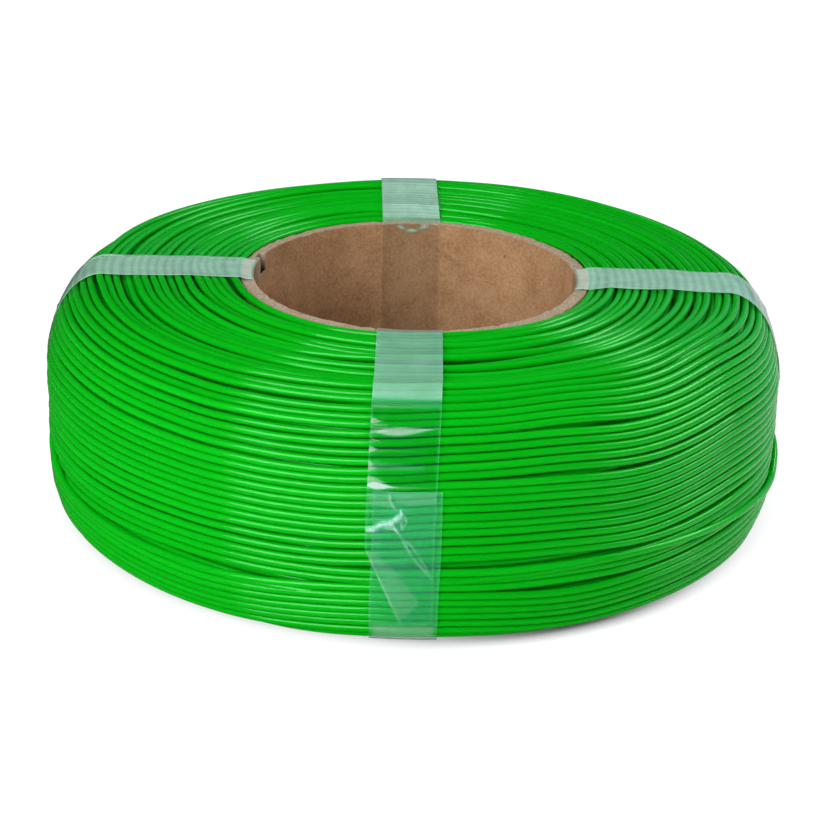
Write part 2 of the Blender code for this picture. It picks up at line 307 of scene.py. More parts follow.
@dataclass(frozen=True)
class FilamentFinish:
    """Smooth glossy plastic strand, drawn lengthwise, dull where the tape's glue wets it.

    Attributes:
        deep: Colour of the darker stretches of the strand.
        light: Colour of the lighter stretches.
        roughness: Least and most roughness.
        gloss: Specular level of the bare strand.
        wet_gloss: Specular level under the tape's glue.
        sheen: Colour of its reflections.
        glow: Share of light that spreads inside the plastic.
        damp: How much darker the strand is under the glue. On the body within, it is painted shade.
        depth: How far red, green and blue spread, in metres.
        stretch: Size of the pattern along the strand, set against the pattern around it.
        relief: Strength and distance of the bump from its drawn streaks.
    """

    deep: Colour = (0.0012, 0.385, 0.0050, 1.0)
    light: Colour = (0.0020, 0.455, 0.0080, 1.0)
    roughness: tuple[float, float] = (0.10, 0.19)
    gloss: float = 0.50
    wet_gloss: float = 0.05
    sheen: Colour = (0.36, 1.0, 0.48, 1.0)
    glow: float = 0.55
    damp: float = 0.17
    depth: tuple[float, float, float] = (0.0003, 0.0014, 0.0005)
    stretch: tuple[float, float, float] = (14.0, 1.0, 1.0)
    relief: tuple[float, float] = (0.06, 0.0004)

    def material(self, name: str) -> bpy.types.Material:
        """Makes the material, which reads the marks strand and wet."""
        sketch = NodeSketch(name)
        strand = sketch.mark("strand").outputs["Vector"]
        streaks = sketch.noise(sketch.scaled(strand, self.stretch), 5.0, 3.0, 0.6)
        lengths = sketch.noise(sketch.scaled(strand, (3.0, 0.1, 0.1)), 4.0, 1.0)
        colour = sketch.blend(sketch.ramp(lengths, 0.3, 0.7, 0.0, 1.0), self.deep, self.light)
        wet = sketch.mark("wet").outputs["Fac"]
        darker = sketch.blend(sketch.math("MULTIPLY", wet, self.damp), colour, BLACK)
        shader = sketch.node(
            "BsdfPrincipled",
            None,
            Base_Color=darker,
            Roughness=sketch.ramp(streaks, 0.25, 0.75, *self.roughness),
            Specular_IOR_Level=sketch.ramp(wet, 0.0, 1.0, self.gloss, self.wet_gloss),
            Specular_Tint=self.sheen,
            Subsurface_Weight=self.glow,
            Subsurface_Radius=self.depth,
            Subsurface_Scale=1.0,
            Normal=sketch.bump(streaks, *self.relief),
        )
        return sketch.surface(shader.outputs["BSDF"])


@dataclass(frozen=True)
class KraftFinish:
    """Brown kraft board: grained and flecked paper on the walls, pale torn plies on the ends.

    The notch and a ply crease are painted dark as shade.

    Attributes:
        wall: Darker and lighter colour of the paper.
        cut: Darker and lighter colour of the cut plies.
        fleck: Colour of the dark flecks.
        straw: Colour of the pale fibres.
        shade_and_fleck: Colour of the painted shade in the notch and along the crease, and of the fleck.
        glued: What the tape's glue leaves of the paper's brightness.
        cloud_scale: Clouds of colour to the metre.
        grain_scale: Grains to the metre.
        speck_scale: Flecks to the metre.
        torn_scale: Torn fibres to the metre on the cut.
        fibre_scale: Pale fibres to the metre round the tube, along it and into the wall.
        relief: Strength and distance of the grain's bump.
    """

    wall: tuple[Colour, Colour] = ((0.310, 0.165, 0.076, 1.0), (0.490, 0.290, 0.155, 1.0))
    cut: tuple[Colour, Colour] = ((0.24, 0.180, 0.122, 1.0), (0.52, 0.410, 0.295, 1.0))
    fleck: Colour = (0.10, 0.052, 0.022, 1.0)
    straw: Colour = (0.56, 0.40, 0.25, 1.0)
    shade_and_fleck: Colour = (0.020, 0.013, 0.005, 1.0)
    glued: Colour = (0.86, 0.84, 0.80, 1.0)
    cloud_scale: float = 110.0
    grain_scale: float = 1350.0
    speck_scale: float = 760.0
    torn_scale: float = 1900.0
    fibre_scale: tuple[float, float, float] = (520.0, 1700.0, 520.0)
    relief: tuple[float, float] = (0.30, 0.0003)

    def material(self, name: str) -> bpy.types.Material:
        """Makes the material, which reads the marks paper, cut, slot and wet."""
        sketch = NodeSketch(name)
        paper = sketch.mark("paper").outputs["Vector"]
        place = sketch.node("TexCoord").outputs["Object"]
        clouds = sketch.noise(place, self.cloud_scale, 3.0, 0.6)
        grain = sketch.noise(place, self.grain_scale, 3.0, 0.7)
        fibres = sketch.noise(sketch.scaled(paper, self.fibre_scale), 1.0, 3.0, 0.65)
        share = sketch.math("ADD", sketch.math("MULTIPLY", clouds, 0.5), sketch.math("MULTIPLY", grain, 0.6))
        wall = sketch.blend(sketch.ramp(share, 0.42, 0.68, 0.0, 1.0), *self.wall)
        wall = sketch.blend(sketch.ramp(fibres, 0.60, 0.82, 0.0, 0.45), wall, self.straw)
        specks = sketch.noise(place, self.speck_scale, 2.0, 0.5)
        wall = sketch.blend(sketch.ramp(specks, 0.69, 0.77, 0.0, 0.55), wall, self.fleck)
        glue = sketch.node("Mix", {"data_type": "RGBA", "blend_type": "MULTIPLY"})
        sketch.feed(glue.inputs[0], sketch.mark("wet").outputs["Fac"])
        sketch.feed(glue.inputs[6], wall)
        sketch.feed(glue.inputs[7], self.glued)
        torn = sketch.noise(place, self.torn_scale, 3.0, 0.7)
        cut = sketch.blend(sketch.ramp(torn, 0.33, 0.66, 0.0, 1.0), *self.cut)
        end = sketch.mark("cut").outputs["Fac"]
        board = sketch.blend(end, glue.outputs[2], cut)
        height = sketch.math("ADD", grain, sketch.math("MULTIPLY", torn, end))
        # The slot mark paints shade: dark in the notch and along the ply crease. It also darkens the fleck.
        slot = sketch.math("POWER", sketch.mark("slot").outputs["Fac"], 2.0)
        shader = sketch.node(
            "BsdfPrincipled",
            None,
            Base_Color=sketch.blend(slot, board, self.shade_and_fleck),
            Roughness=sketch.ramp(fibres, 0.3, 0.7, 0.80, 0.96),
            Specular_IOR_Level=0.2,
            Normal=sketch.bump(height, *self.relief),
        )
        return sketch.surface(shader.outputs["BSDF"])


@dataclass(frozen=True)
class FilmFinish:
    """Clear packing film, which mirrors more at a slant and is hazy where it is loose or creased.

    Its haze also paints highlights on folds, blisters and edges, and a reflection on the top face.

    Attributes:
        tint: What the film lets through.
        haze: Least and most share of light that the film scatters where it is stuck down.
        patchy: Least and most of the haze that the marks ask for, from patch to patch.
        milk: Colour of the light scattered by the glue.
        chalk: Colour of the light scattered by loose film, of the painted reflection on the top face and of
            the painted highlights at the edges.
        glint: Colour of the painted highlights on creases and blisters, over their real haze.
        mirror: Share that it mirrors when seen straight on.
        roughness: Roughness of the mirror.
        cloud_scale: Clouds of haze to the metre across the film and along it.
        crease_scale: Fine creases to the metre across it and along it.
        relief: Strength and distance of the creases' bump.
    """

    tint: Colour = (0.984, 0.990, 0.995, 1.0)
    haze: tuple[float, float] = (0.002, 0.007)
    patchy: tuple[float, float] = (0.84, 1.16)
    milk: Colour = (0.20, 1.0, 0.76, 1.0)
    chalk: Colour = (0.85, 0.97, 0.83, 1.0)
    glint: Colour = (0.76, 0.99, 0.86, 1.0)
    mirror: float = 0.006
    roughness: float = 0.06
    cloud_scale: tuple[float, float, float] = (260.0, 120.0, 1.0)
    crease_scale: tuple[float, float, float] = (380.0, 190.0, 1.0)
    relief: tuple[float, float] = (0.08, 0.0003)

    def material(self, name: str) -> bpy.types.Material:
        """Makes the material, which reads the marks film, haze, chalk and glint."""
        sketch = NodeSketch(name)
        film = sketch.mark("film").outputs["Vector"]
        cloud = sketch.noise(sketch.scaled(film, self.cloud_scale), 1.0, 3.0, 0.6)
        creases = sketch.noise(sketch.scaled(film, self.crease_scale), 1.0, 2.0, 0.5)
        uneven = sketch.ramp(cloud, 0.3, 0.7, *self.patchy)
        asked = sketch.math("MULTIPLY", sketch.mark("haze").outputs["Fac"], uneven)
        haze = sketch.math("ADD", sketch.ramp(cloud, 0.35, 0.7, *self.haze), asked)
        normal = sketch.bump(creases, *self.relief)
        # Besides real haze, the chalk and glint colours carry painted highlights and the top face's painted
        # reflection.
        white = sketch.blend(sketch.mark("chalk").outputs["Fac"], self.milk, self.chalk)
        white = sketch.blend(sketch.mark("glint").outputs["Fac"], white, self.glint)
        milk = sketch.node("BsdfPrincipled", None, Base_Color=white, Roughness=0.4)
        clear = sketch.node("BsdfTransparent", None, Color=self.tint)
        sheet = sketch.node("MixShader", None, Fac=haze)
        sketch.feed(sheet.inputs[1], clear.outputs[0])
        sketch.feed(sheet.inputs[2], milk.outputs[0])
        gloss = sketch.node("BsdfGlossy", None, Roughness=self.roughness, Normal=normal)
        slant = sketch.node("LayerWeight", None, Blend=0.5, Normal=normal).outputs["Facing"]
        rise = sketch.math("MULTIPLY", sketch.math("POWER", slant, 5.0), 1.0 - self.mirror)
        film_out = sketch.node("MixShader", None, Fac=sketch.math("ADD", rise, self.mirror))
        sketch.feed(film_out.inputs[1], sheet.outputs[0])
        sketch.feed(film_out.inputs[2], gloss.outputs[0])
        return sketch.surface(film_out.outputs[0])


@dataclass(frozen=True)
class CoilSizes:
    """Sizes of the coil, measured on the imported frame.

    Attributes:
        radius: Outer radius of the winding.
        bottom: Height of its bottom face.
        top: Height of its top face.
        core_inner: Inner radius of the core.
        core_outer: Outer radius of the core.
        core_bottom: Height of the core's lower end.
        core_top: Height of its upper end.
    """

    radius: float
    bottom: float
    top: float
    core_inner: float
    core_outer: float
    core_bottom: float
    core_top: float

    @classmethod
    def from_frame(cls) -> CoilSizes:
        """Reads the sizes off the CAD nodes' boxes."""
        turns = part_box("filament_outer_turns")[1]
        ring_low, ring_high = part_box("filament_winding")
        core_low, core_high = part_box("core_tube")
        return cls(
            radius=turns.x,
            bottom=ring_low.z,
            top=ring_high.z,
            core_inner=core_high.x - CORE_WALL,
            core_outer=core_high.x,
            core_bottom=core_low.z,
            core_top=core_high.z,
        )

    @staticmethod
    def rim_rise(azimuth: float | np.ndarray) -> float | np.ndarray:
        """How far the rim's inner edge stands above its outer one: most at the back on the left."""
        return RIM_RISE * (0.5 + 0.5 * np.cos(azimuth - RIM_RISE_AZIMUTH))


@dataclass(frozen=True)
class SkinLine:
    """The line through the strand's centres in the coil's section, under the winding's skin.

    It runs along the bottom face, round the bottom shoulder, up the side, round the top shoulder and along
    the top face. Each shoulder is a quarter ellipse, and every point is sunk below the skin along its normal.

    Attributes:
        sizes: Sizes of the coil.
        sink: Depth of the line below the skin.
        top_reach: Radial size of the top shoulder.
        top_drop: Height of the top shoulder.
        bottom_reach: Radial size of the bottom shoulder.
        bottom_rise: Height of the bottom shoulder.
        core_gap: Gap between the strand and the core.
        steps: Points on each shoulder.
    """

    sizes: CoilSizes
    sink: float = FILAMENT_DIAMETER / 2
    top_reach: float = 0.0143
    top_drop: float = 0.0236
    bottom_reach: float = 0.0049
    bottom_rise: float = 0.0132
    core_gap: float = 0.0002
    steps: int = 160

    def table(self) -> np.ndarray:
        """Works out the line.

        Returns:
            Rows of distance along the line, radius, height, and the outward normal's radial and upward parts.
        """
        sizes = self.sizes
        turn = np.linspace(0.0, math.pi / 2, self.steps)
        inner = sizes.core_outer + self.sink + self.core_gap
        low = self._shoulder(turn[::-1], self.bottom_reach, self.bottom_rise, sizes.bottom, -1.0)
        high = self._shoulder(turn, self.top_reach, self.top_drop, sizes.top, 1.0)
        ends = [[inner, sizes.bottom, 0.0, -1.0]], [[inner, sizes.top, 0.0, 1.0]]
        line = np.concatenate([ends[0], low, high, ends[1]])
        line[:, :2] -= self.sink * line[:, 2:]
        steps = np.linalg.norm(np.diff(line[:, :2], axis=0), axis=1)
        return np.column_stack([np.concatenate([[0.0], np.cumsum(steps)]), line])

    def _shoulder(self, turn: np.ndarray, reach: float, rise: float, face: float, side: float) -> np.ndarray:
        """Points and normals of a quarter ellipse; side is 1 at the top and -1 at the bottom."""
        radius = self.sizes.radius - reach + reach * np.cos(turn)
        height = face - side * rise * (1.0 - np.sin(turn))
        normal = np.stack([np.cos(turn) / reach, side * np.sin(turn) / rise], axis=1)
        normal /= np.linalg.norm(normal, axis=1, keepdims=True)
        return np.column_stack([radius, height, normal])

    def at(self, along: np.ndarray, lift: np.ndarray | float = 0.0) -> tuple[np.ndarray, np.ndarray]:
        """Radius and height at these distances along the line, lifted off it along its normal."""
        table = self.table()
        radius, height, out, up = (np.interp(along, table[:, 0], table[:, i]) for i in (1, 2, 3, 4))
        return radius + lift * out, height + lift * up


@dataclass(frozen=True)
class Opening:
    """A place where two neighbouring turns part.

    Attributes:
        height: Distance along the skin line.
        azimuth: Middle of the opening, in degrees round the coil.
        spread: Half its length, in degrees.
        width: Its widest gap.
    """

    height: float
    azimuth: float
    spread: float
    width: float


@dataclass
class WoundStrand:
    """One continuous strand wound over the skin line, sampled evenly round each turn.

    Attributes:
        line: The skin line that it lies on.
        samples: Samples a turn.
        start: Azimuth of its first sample, in radians.
        along: Place of each sample on the line.
        lift: Height of each sample above the line.
    """

    line: SkinLine
    samples: int
    start: float
    along: np.ndarray
    lift: np.ndarray

    @property
    def turns(self) -> int:
        """Whole turns in the strand."""
        return (len(self.along) - 1) // self.samples

    def azimuth(self) -> np.ndarray:
        """Azimuth of each sample."""
        return self.start + math.tau * np.arange(len(self.along)) / self.samples

    def rows_at(self, azimuth: np.ndarray) -> tuple[np.ndarray, np.ndarray]:
        """Where each turn passes an azimuth.

        Args:
            azimuth: One azimuth for each turn, along the first axis.

        Returns:
            The places on the line and the lifts, shaped as the azimuths.
        """
        share = np.mod((azimuth - self.start) / math.tau, 1.0)
        turn = np.arange(self.turns).reshape(-1, *[1] * (azimuth.ndim - 1))
        sample = (turn + share) * self.samples
        index = np.arange(len(self.along))
        return np.interp(sample, index, self.along), np.interp(sample, index, self.lift)


@dataclass
class StrandLay:
    """How a layer of turns lies: its spacing, how unevenly it is wound, and where turns part.

    Attributes:
        line: The skin line.
        samples: Samples a turn.
        seed: Seed of the unevenness.
        start: Azimuth of the first sample, in radians.
        face_gap: Mean gap between turns on the top face.
        side_gap: Mean gap on the side.
        under_gap: Mean gap on the bottom face.
        scatter: How widely the gaps scatter on the left, on the right and on the faces.
        loose_side: Azimuth at which they scatter most on the side, in radians.
        unevenness: Share and length, in turns, of each wave of the gaps.
        widest: Most that a gap may be: so many times its mean, and this much more.
        crossing: Share of a turn over which the strand steps across to its next row.
        bob: Rise and fall of the strand on the side and on the faces.
        bob_length: Length of that rise and fall, in turns.
        bottom_edge: Places between which the gap of the bottom face becomes that of the side.
        top_edge: Distances from the line's end between which the side becomes the top face.
        top_gap_edge: The same for the mean gap.
        foot: Places on the bottom shoulder, and the most that a turn is lifted at each.
        end_dive: How far the strand's two ends go down beneath the turns beside them.
        openings: Places where turns part.
    """

    line: SkinLine
    samples: int = 264
    seed: int = 7
    start: float = math.radians(176.0)
    face_gap: float = 0.00042
    side_gap: float = 0.00017
    under_gap: float = 0.00025
    scatter: tuple[float, float, float] = (0.65, 1.30, 1.25)
    loose_side: float = math.radians(330.0)
    unevenness: tuple[tuple[float, float], ...] = ((0.8, 0.11), (0.6, 0.37))
    widest: tuple[float, float] = (3.2, 0.0001)
    crossing: float = 0.05
    bob: tuple[float, float] = (0.00010, 0.00042)
    bob_length: float = 0.13
    bottom_edge: tuple[float, float] = (0.036, 0.044)
    top_edge: tuple[float, float] = (0.052, 0.034)
    top_gap_edge: tuple[float, float] = (0.052, 0.030)
    foot: tuple[tuple[float, float], tuple[float, float]] = ((0.0425, 0.047), (0.00004, 0.002))
    end_dive: float = 0.0036
    openings: tuple[Opening, ...] = ()

    def wind(self) -> WoundStrand:
        """Winds the strand turn by turn: each sample lies one diameter and one gap past the turn before it.

        Returns:
            The strand. The gaps are positive, so turns never cross, and at each azimuth they fill the line.
        """
        rng = np.random.default_rng(self.seed)
        length = self.line.table()[-1, 0]
        nominal = self._nominal_turns(length)
        turns = len(nominal) - 1
        count = turns * self.samples + 1
        turn, whole = np.arange(count) / self.samples, np.arange(turns + 1)
        mean_gap = np.interp(turn, whole, self._mean_gap(nominal))
        waves = [share * smooth_noise(count, self.samples * size, rng) for share, size in self.unevenness]
        gaps = mean_gap * np.exp(self._spread(np.interp(turn, whole, nominal)) * sum(waves))
        gaps = np.minimum(gaps, self.widest[0] * mean_gap + self.widest[1])
        extra = self._opened(count, nominal)
        gaps = self._filling(gaps, extra, turns, length)

        first = (FILAMENT_DIAMETER + gaps[0]) * ease(turn[: self.samples], 0.0, self.crossing)
        rows = np.concatenate([first[None], gaps[: (turns - 1) * self.samples].reshape(turns - 1, -1)])
        rows[1:] += FILAMENT_DIAMETER
        along = np.cumsum(rows, axis=0).ravel()
        along = np.append(along, along[-self.samples] + FILAMENT_DIAMETER + gaps[(turns - 1) * self.samples])
        bob = np.interp(along, *self._bob_profile(length))
        lift = bob * smooth_noise(count, self.samples * self.bob_length, rng)
        lift = np.minimum(lift, np.interp(along, *self.foot))
        from_end = np.minimum(np.arange(count), count - 1 - np.arange(count)) / self.samples
        lift -= self.end_dive * (1.0 - ease(from_end, 0.0, self.crossing / 3.0))
        return WoundStrand(self.line, self.samples, self.start, along, lift)

    def _spread(self, along: np.ndarray) -> np.ndarray:
        """How widely the gaps scatter: on the side more to the right, and on the faces evenly."""
        left, right, face = self.scatter
        length = self.line.table()[-1, 0]
        azimuth = self.start + math.tau * np.arange(len(along)) / self.samples
        side = left + (right - left) * (0.5 + 0.5 * np.cos(azimuth - self.loose_side))
        onto_face = ease(along, length - self.top_edge[0], length - self.top_edge[1])
        return side + (face - side) * onto_face

    def _mean_gap(self, along: np.ndarray) -> np.ndarray:
        """Mean gap at these places on the line."""
        length = self.line.table()[-1, 0]
        under = self.under_gap + (self.side_gap - self.under_gap) * ease(along, *self.bottom_edge)
        onto_face = ease(along, length - self.top_gap_edge[0], length - self.top_gap_edge[1])
        return under + (self.face_gap - self.side_gap) * onto_face

    def _bob_profile(self, length: float) -> tuple[np.ndarray, np.ndarray]:
        """Places on the line and the strand's rise and fall there."""
        side, face = self.bob
        places = [0.0, 0.036, 0.046, length - self.top_edge[0], length - self.top_edge[1]]
        return np.array(places), np.array([face, face, side, side, face])

    def _nominal_turns(self, length: float) -> np.ndarray:
        """Places of the turns if every gap had its mean, ending just before the line's end."""
        places = [0.0]
        while places[-1] < length:
            places.append(places[-1] + FILAMENT_DIAMETER + float(self._mean_gap(np.array(places[-1]))))
        return np.array(places[:-1])

    def _opened(self, count: int, nominal: np.ndarray) -> np.ndarray:
        """Extra gap at each sample from the openings, each a smooth hump along its turn."""
        extra = np.zeros(count)
        degrees = np.degrees(self.start) + 360.0 * np.arange(count) / self.samples
        for opening in self.openings:
            turn = int(np.argmin(np.abs(nominal - opening.height)))
            ahead = degrees[turn * self.samples] + 180.0 - opening.azimuth
            middle = opening.azimuth + 360.0 * round(ahead / 360.0)
            reach = np.clip(np.abs(degrees - middle) / opening.spread, 0.0, 1.0)
            extra += opening.width * np.cos(reach * math.pi / 2) ** 2
        return extra

    def _filling(self, gaps: np.ndarray, extra: np.ndarray, turns: int, length: float) -> np.ndarray:
        """Gaps scaled at each azimuth so that the turns and the openings fill the line's length."""
        last = turns * self.samples
        total = length - turns * FILAMENT_DIAMETER
        spare = total - extra[:last].reshape(turns, -1).sum(axis=0)
        scale = spare / gaps[:last].reshape(turns, -1).sum(axis=0)
        scale = np.append(np.tile(scale, turns), scale[0])
        return gaps * np.maximum(scale, 0.05) + extra


@dataclass(frozen=True)
class StrayTurn:
    """A stretch of strand that leaves its row and crosses over the turns beside it.

    Attributes:
        name: Name of the piece.
        knots: Azimuth in degrees, place on the skin line and lift above it, at points along the stretch.
    """

    name: str
    knots: tuple[tuple[float, float, float], ...]

    def strand(self, line: SkinLine, samples: int = 360) -> WoundStrand:
        """The stretch as a strand: a smooth curve through its knots, one sample for each degree.

        Args:
            line: The skin line.
            samples: Samples a whole turn.

        Returns:
            The strand, from the first knot's azimuth to the last one's.
        """
        degrees, along, lift = (np.array(column) for column in zip(*self.knots))
        count = int((degrees[-1] - degrees[0]) * samples / 360.0) + 1
        at = degrees[0] + 360.0 / samples * np.arange(count)
        places = [self._curve(at, degrees, values) for values in (along, lift)]
        return WoundStrand(line, samples, math.radians(degrees[0]), *places)

    @staticmethod
    def _curve(at: np.ndarray, knots: np.ndarray, values: np.ndarray) -> np.ndarray:
        """A cubic through the knots whose slope at each knot is that of its neighbours' chord."""
        slopes = np.gradient(values, knots)
        index = np.clip(np.searchsorted(knots, at, side="right") - 1, 0, len(knots) - 2)
        span = knots[index + 1] - knots[index]
        part = (at - knots[index]) / span
        rise = part * part * (3.0 - 2.0 * part)
        start = part * (1.0 - part) ** 2 * span * slopes[index]
        end = part * part * (part - 1.0) * span * slopes[index + 1]
        return values[index] * (1.0 - rise) + values[index + 1] * rise + start + end


@dataclass
class FilamentWinding:
    """The wound strand: the turns that show, the layer under them and the body within, darkened as painted
    shade.

    Attributes:
        sizes: Sizes of the coil.
        tapes: Azimuths of the tape bands, in radians.
        tape_width: Width of a band.
        sides: Sides of the strand's section.
        under_sides: Sides of the section of the layer underneath.
        under_sink: Depth of that layer's line below the skin.
        body_sink: Depth of the body below the skin.
        body_gap: Gap between the body and the core.
        body_grid: Columns round the body and rows across it.
        lap_place: Place on the skin line below which the bands' ends lap.
        lap_wet: How far the glue wets the turns there.
        top_place: Place from which the bands lie on the top face.
        top_wet: How far the glue wets the turns there.
        fades: Lengths over which that changes at the lap and at the top face.
        glue_edge: Width over which the glue ends along a band.
        openings: Places where turns part.
        strays: Stretches of strand that leave their rows.
    """

    sizes: CoilSizes
    tapes: tuple[float, ...]
    tape_width: float
    sides: int = 12
    under_sides: int = 8
    under_sink: float = FILAMENT_DIAMETER * 1.42
    body_sink: float = FILAMENT_DIAMETER * 1.95
    body_gap: float = 0.00002
    body_grid: tuple[int, int] = (160, 90)
    lap_place: float = 0.079
    lap_wet: float = 0.05
    top_place: float = 0.0985
    top_wet: float = 0.4
    fades: tuple[float, float] = (0.001, 0.002)
    glue_edge: float = 0.0006
    openings: tuple[Opening, ...] = ()
    strays: tuple[StrayTurn, ...] = ()

    def build(self, finish: FilamentFinish) -> WoundStrand:
        """Builds and dresses every piece of the winding.

        Args:
            finish: The strand's finish.

        Returns:
            The strand of the turns that show, which the tape lies on.
        """
        material = finish.material("filament_green")
        outer = StrandLay(SkinLine(self.sizes), openings=self.openings).wind()
        self._zones(outer, material)
        for stray in self.strays:
            strand = stray.strand(outer.line)
            grid = self.tube(strand, 0, len(strand.along), self.sides)
            place_piece(stray.name, grid, material, Slot.FILAMENT)
        under_line = SkinLine(self.sizes, sink=self.under_sink)
        under = StrandLay(under_line, samples=150, seed=23, face_gap=0.0003, side_gap=0.0003).wind()
        grid = self.tube(under, 0, len(under.along), self.under_sides)
        place_piece("filament_second_layer", grid, material, Slot.FILAMENT)
        self._body(material)
        return outer

    def _zones(self, strand: WoundStrand, material: bpy.types.Material) -> None:
        """Splits the outer strand into one tube for each zone of the skin, end to end."""
        share = {Zone.BOTTOM_FACE: 0.30, Zone.LOWER_SIDE: 0.53, Zone.UPPER_SIDE: 0.775, Zone.TOP_FACE: 1.0}
        start = 0
        for zone, end_share in share.items():
            end = round(end_share * strand.turns) * strand.samples
            grid = self.tube(strand, start, end + 1, self.sides)
            name = f"filament_turns_{zone.value}"
            nodes = ["filament_outer_turns"] if zone is Zone.UPPER_SIDE else []
            place_piece(name, grid, material, Slot.FILAMENT, *nodes)
            start = end

    def tube(self, strand: WoundStrand, start: int, end: int, sides: int) -> SurfaceGrid:
        """A round tube along a stretch of the strand.

        The centre is (r cos a, r sin a, z) at azimuth a. The section is a circle in the plane through the
        axis: the radius gains f cos b and the height f sin b, with f such that the many-sided section has the
        area of the round one.

        Args:
            strand: The wound strand.
            start: First sample.
            end: Sample after the last.
            sides: Sides of the section.

        Returns:
            The tube's grid, with its marks for the finish.
        """
        part = slice(start, end)
        radius, height = strand.line.at(strand.along[part], strand.lift[part])
        azimuth = strand.azimuth()[part]
        turn = math.tau * np.arange(sides) / sides
        half = FILAMENT_DIAMETER / 2 * math.sqrt(math.tau / (sides * math.sin(math.tau / sides)))
        reach = radius[:, None] + half * np.cos(turn)
        rise = height[:, None] + half * np.sin(turn)
        points = np.stack([reach * np.cos(azimuth)[:, None], reach * np.sin(azimuth)[:, None], rise], axis=-1)
        travelled = np.arange(start, end) / strand.samples * math.tau * np.mean(radius)
        shape = reach.shape
        strand_mark = np.stack(
            [
                np.broadcast_to(travelled[:, None], shape),
                np.broadcast_to(np.cos(turn), shape),
                np.broadcast_to(np.sin(turn), shape),
            ],
            axis=-1,
        )
        stuck = np.interp(
            strand.along[part],
            [self.lap_place - self.fades[0], self.lap_place, self.top_place - self.fades[1], self.top_place],
            [self.lap_wet, 1.0, 1.0, self.top_wet],
        )
        marks = {"strand": strand_mark, "wet": self._covered(reach, azimuth[:, None]) * stuck[:, None]}
        return SurfaceGrid(points, close_columns=True, cap_ends=True, marks=marks)

    def _covered(self, reach: np.ndarray, azimuth: np.ndarray) -> np.ndarray:
        """1 under a tape band, falling to 0 at its edges."""
        nearest = turn_from(azimuth, self.tapes) * reach
        return 1.0 - ease(nearest, self.tape_width / 2 - self.glue_edge, self.tape_width / 2)

    def _body(self, material: bpy.types.Material) -> None:
        """A closed ring from the core to under the layers, turned from the skin line: it closes every gap."""
        columns, rows = self.body_grid
        line = SkinLine(self.sizes, sink=self.body_sink)
        radius, height = line.at(np.linspace(0.0, line.table()[-1, 0], rows))
        wall = [self.sizes.core_outer + self.body_gap]
        radius = np.concatenate([wall, radius, wall])
        height = np.concatenate([height[:1], height, height[-1:]])
        azimuth = math.tau * np.arange(columns)[:, None] / columns
        level = np.tile(height, (columns, 1))
        points = np.stack([np.cos(azimuth) * radius, np.sin(azimuth) * radius, level], axis=-1)
        # The body is marked wet all over, so it is darker and dull: painted shade for what shows deep in the
        # gaps.
        marks = {"strand": points.copy(), "wet": np.ones(points.shape[:2])}
        grid = SurfaceGrid(points, close_rows=True, close_columns=True, marks=marks)
        place_piece("filament_inner_layers", grid, material, Slot.FILAMENT, "filament_winding")


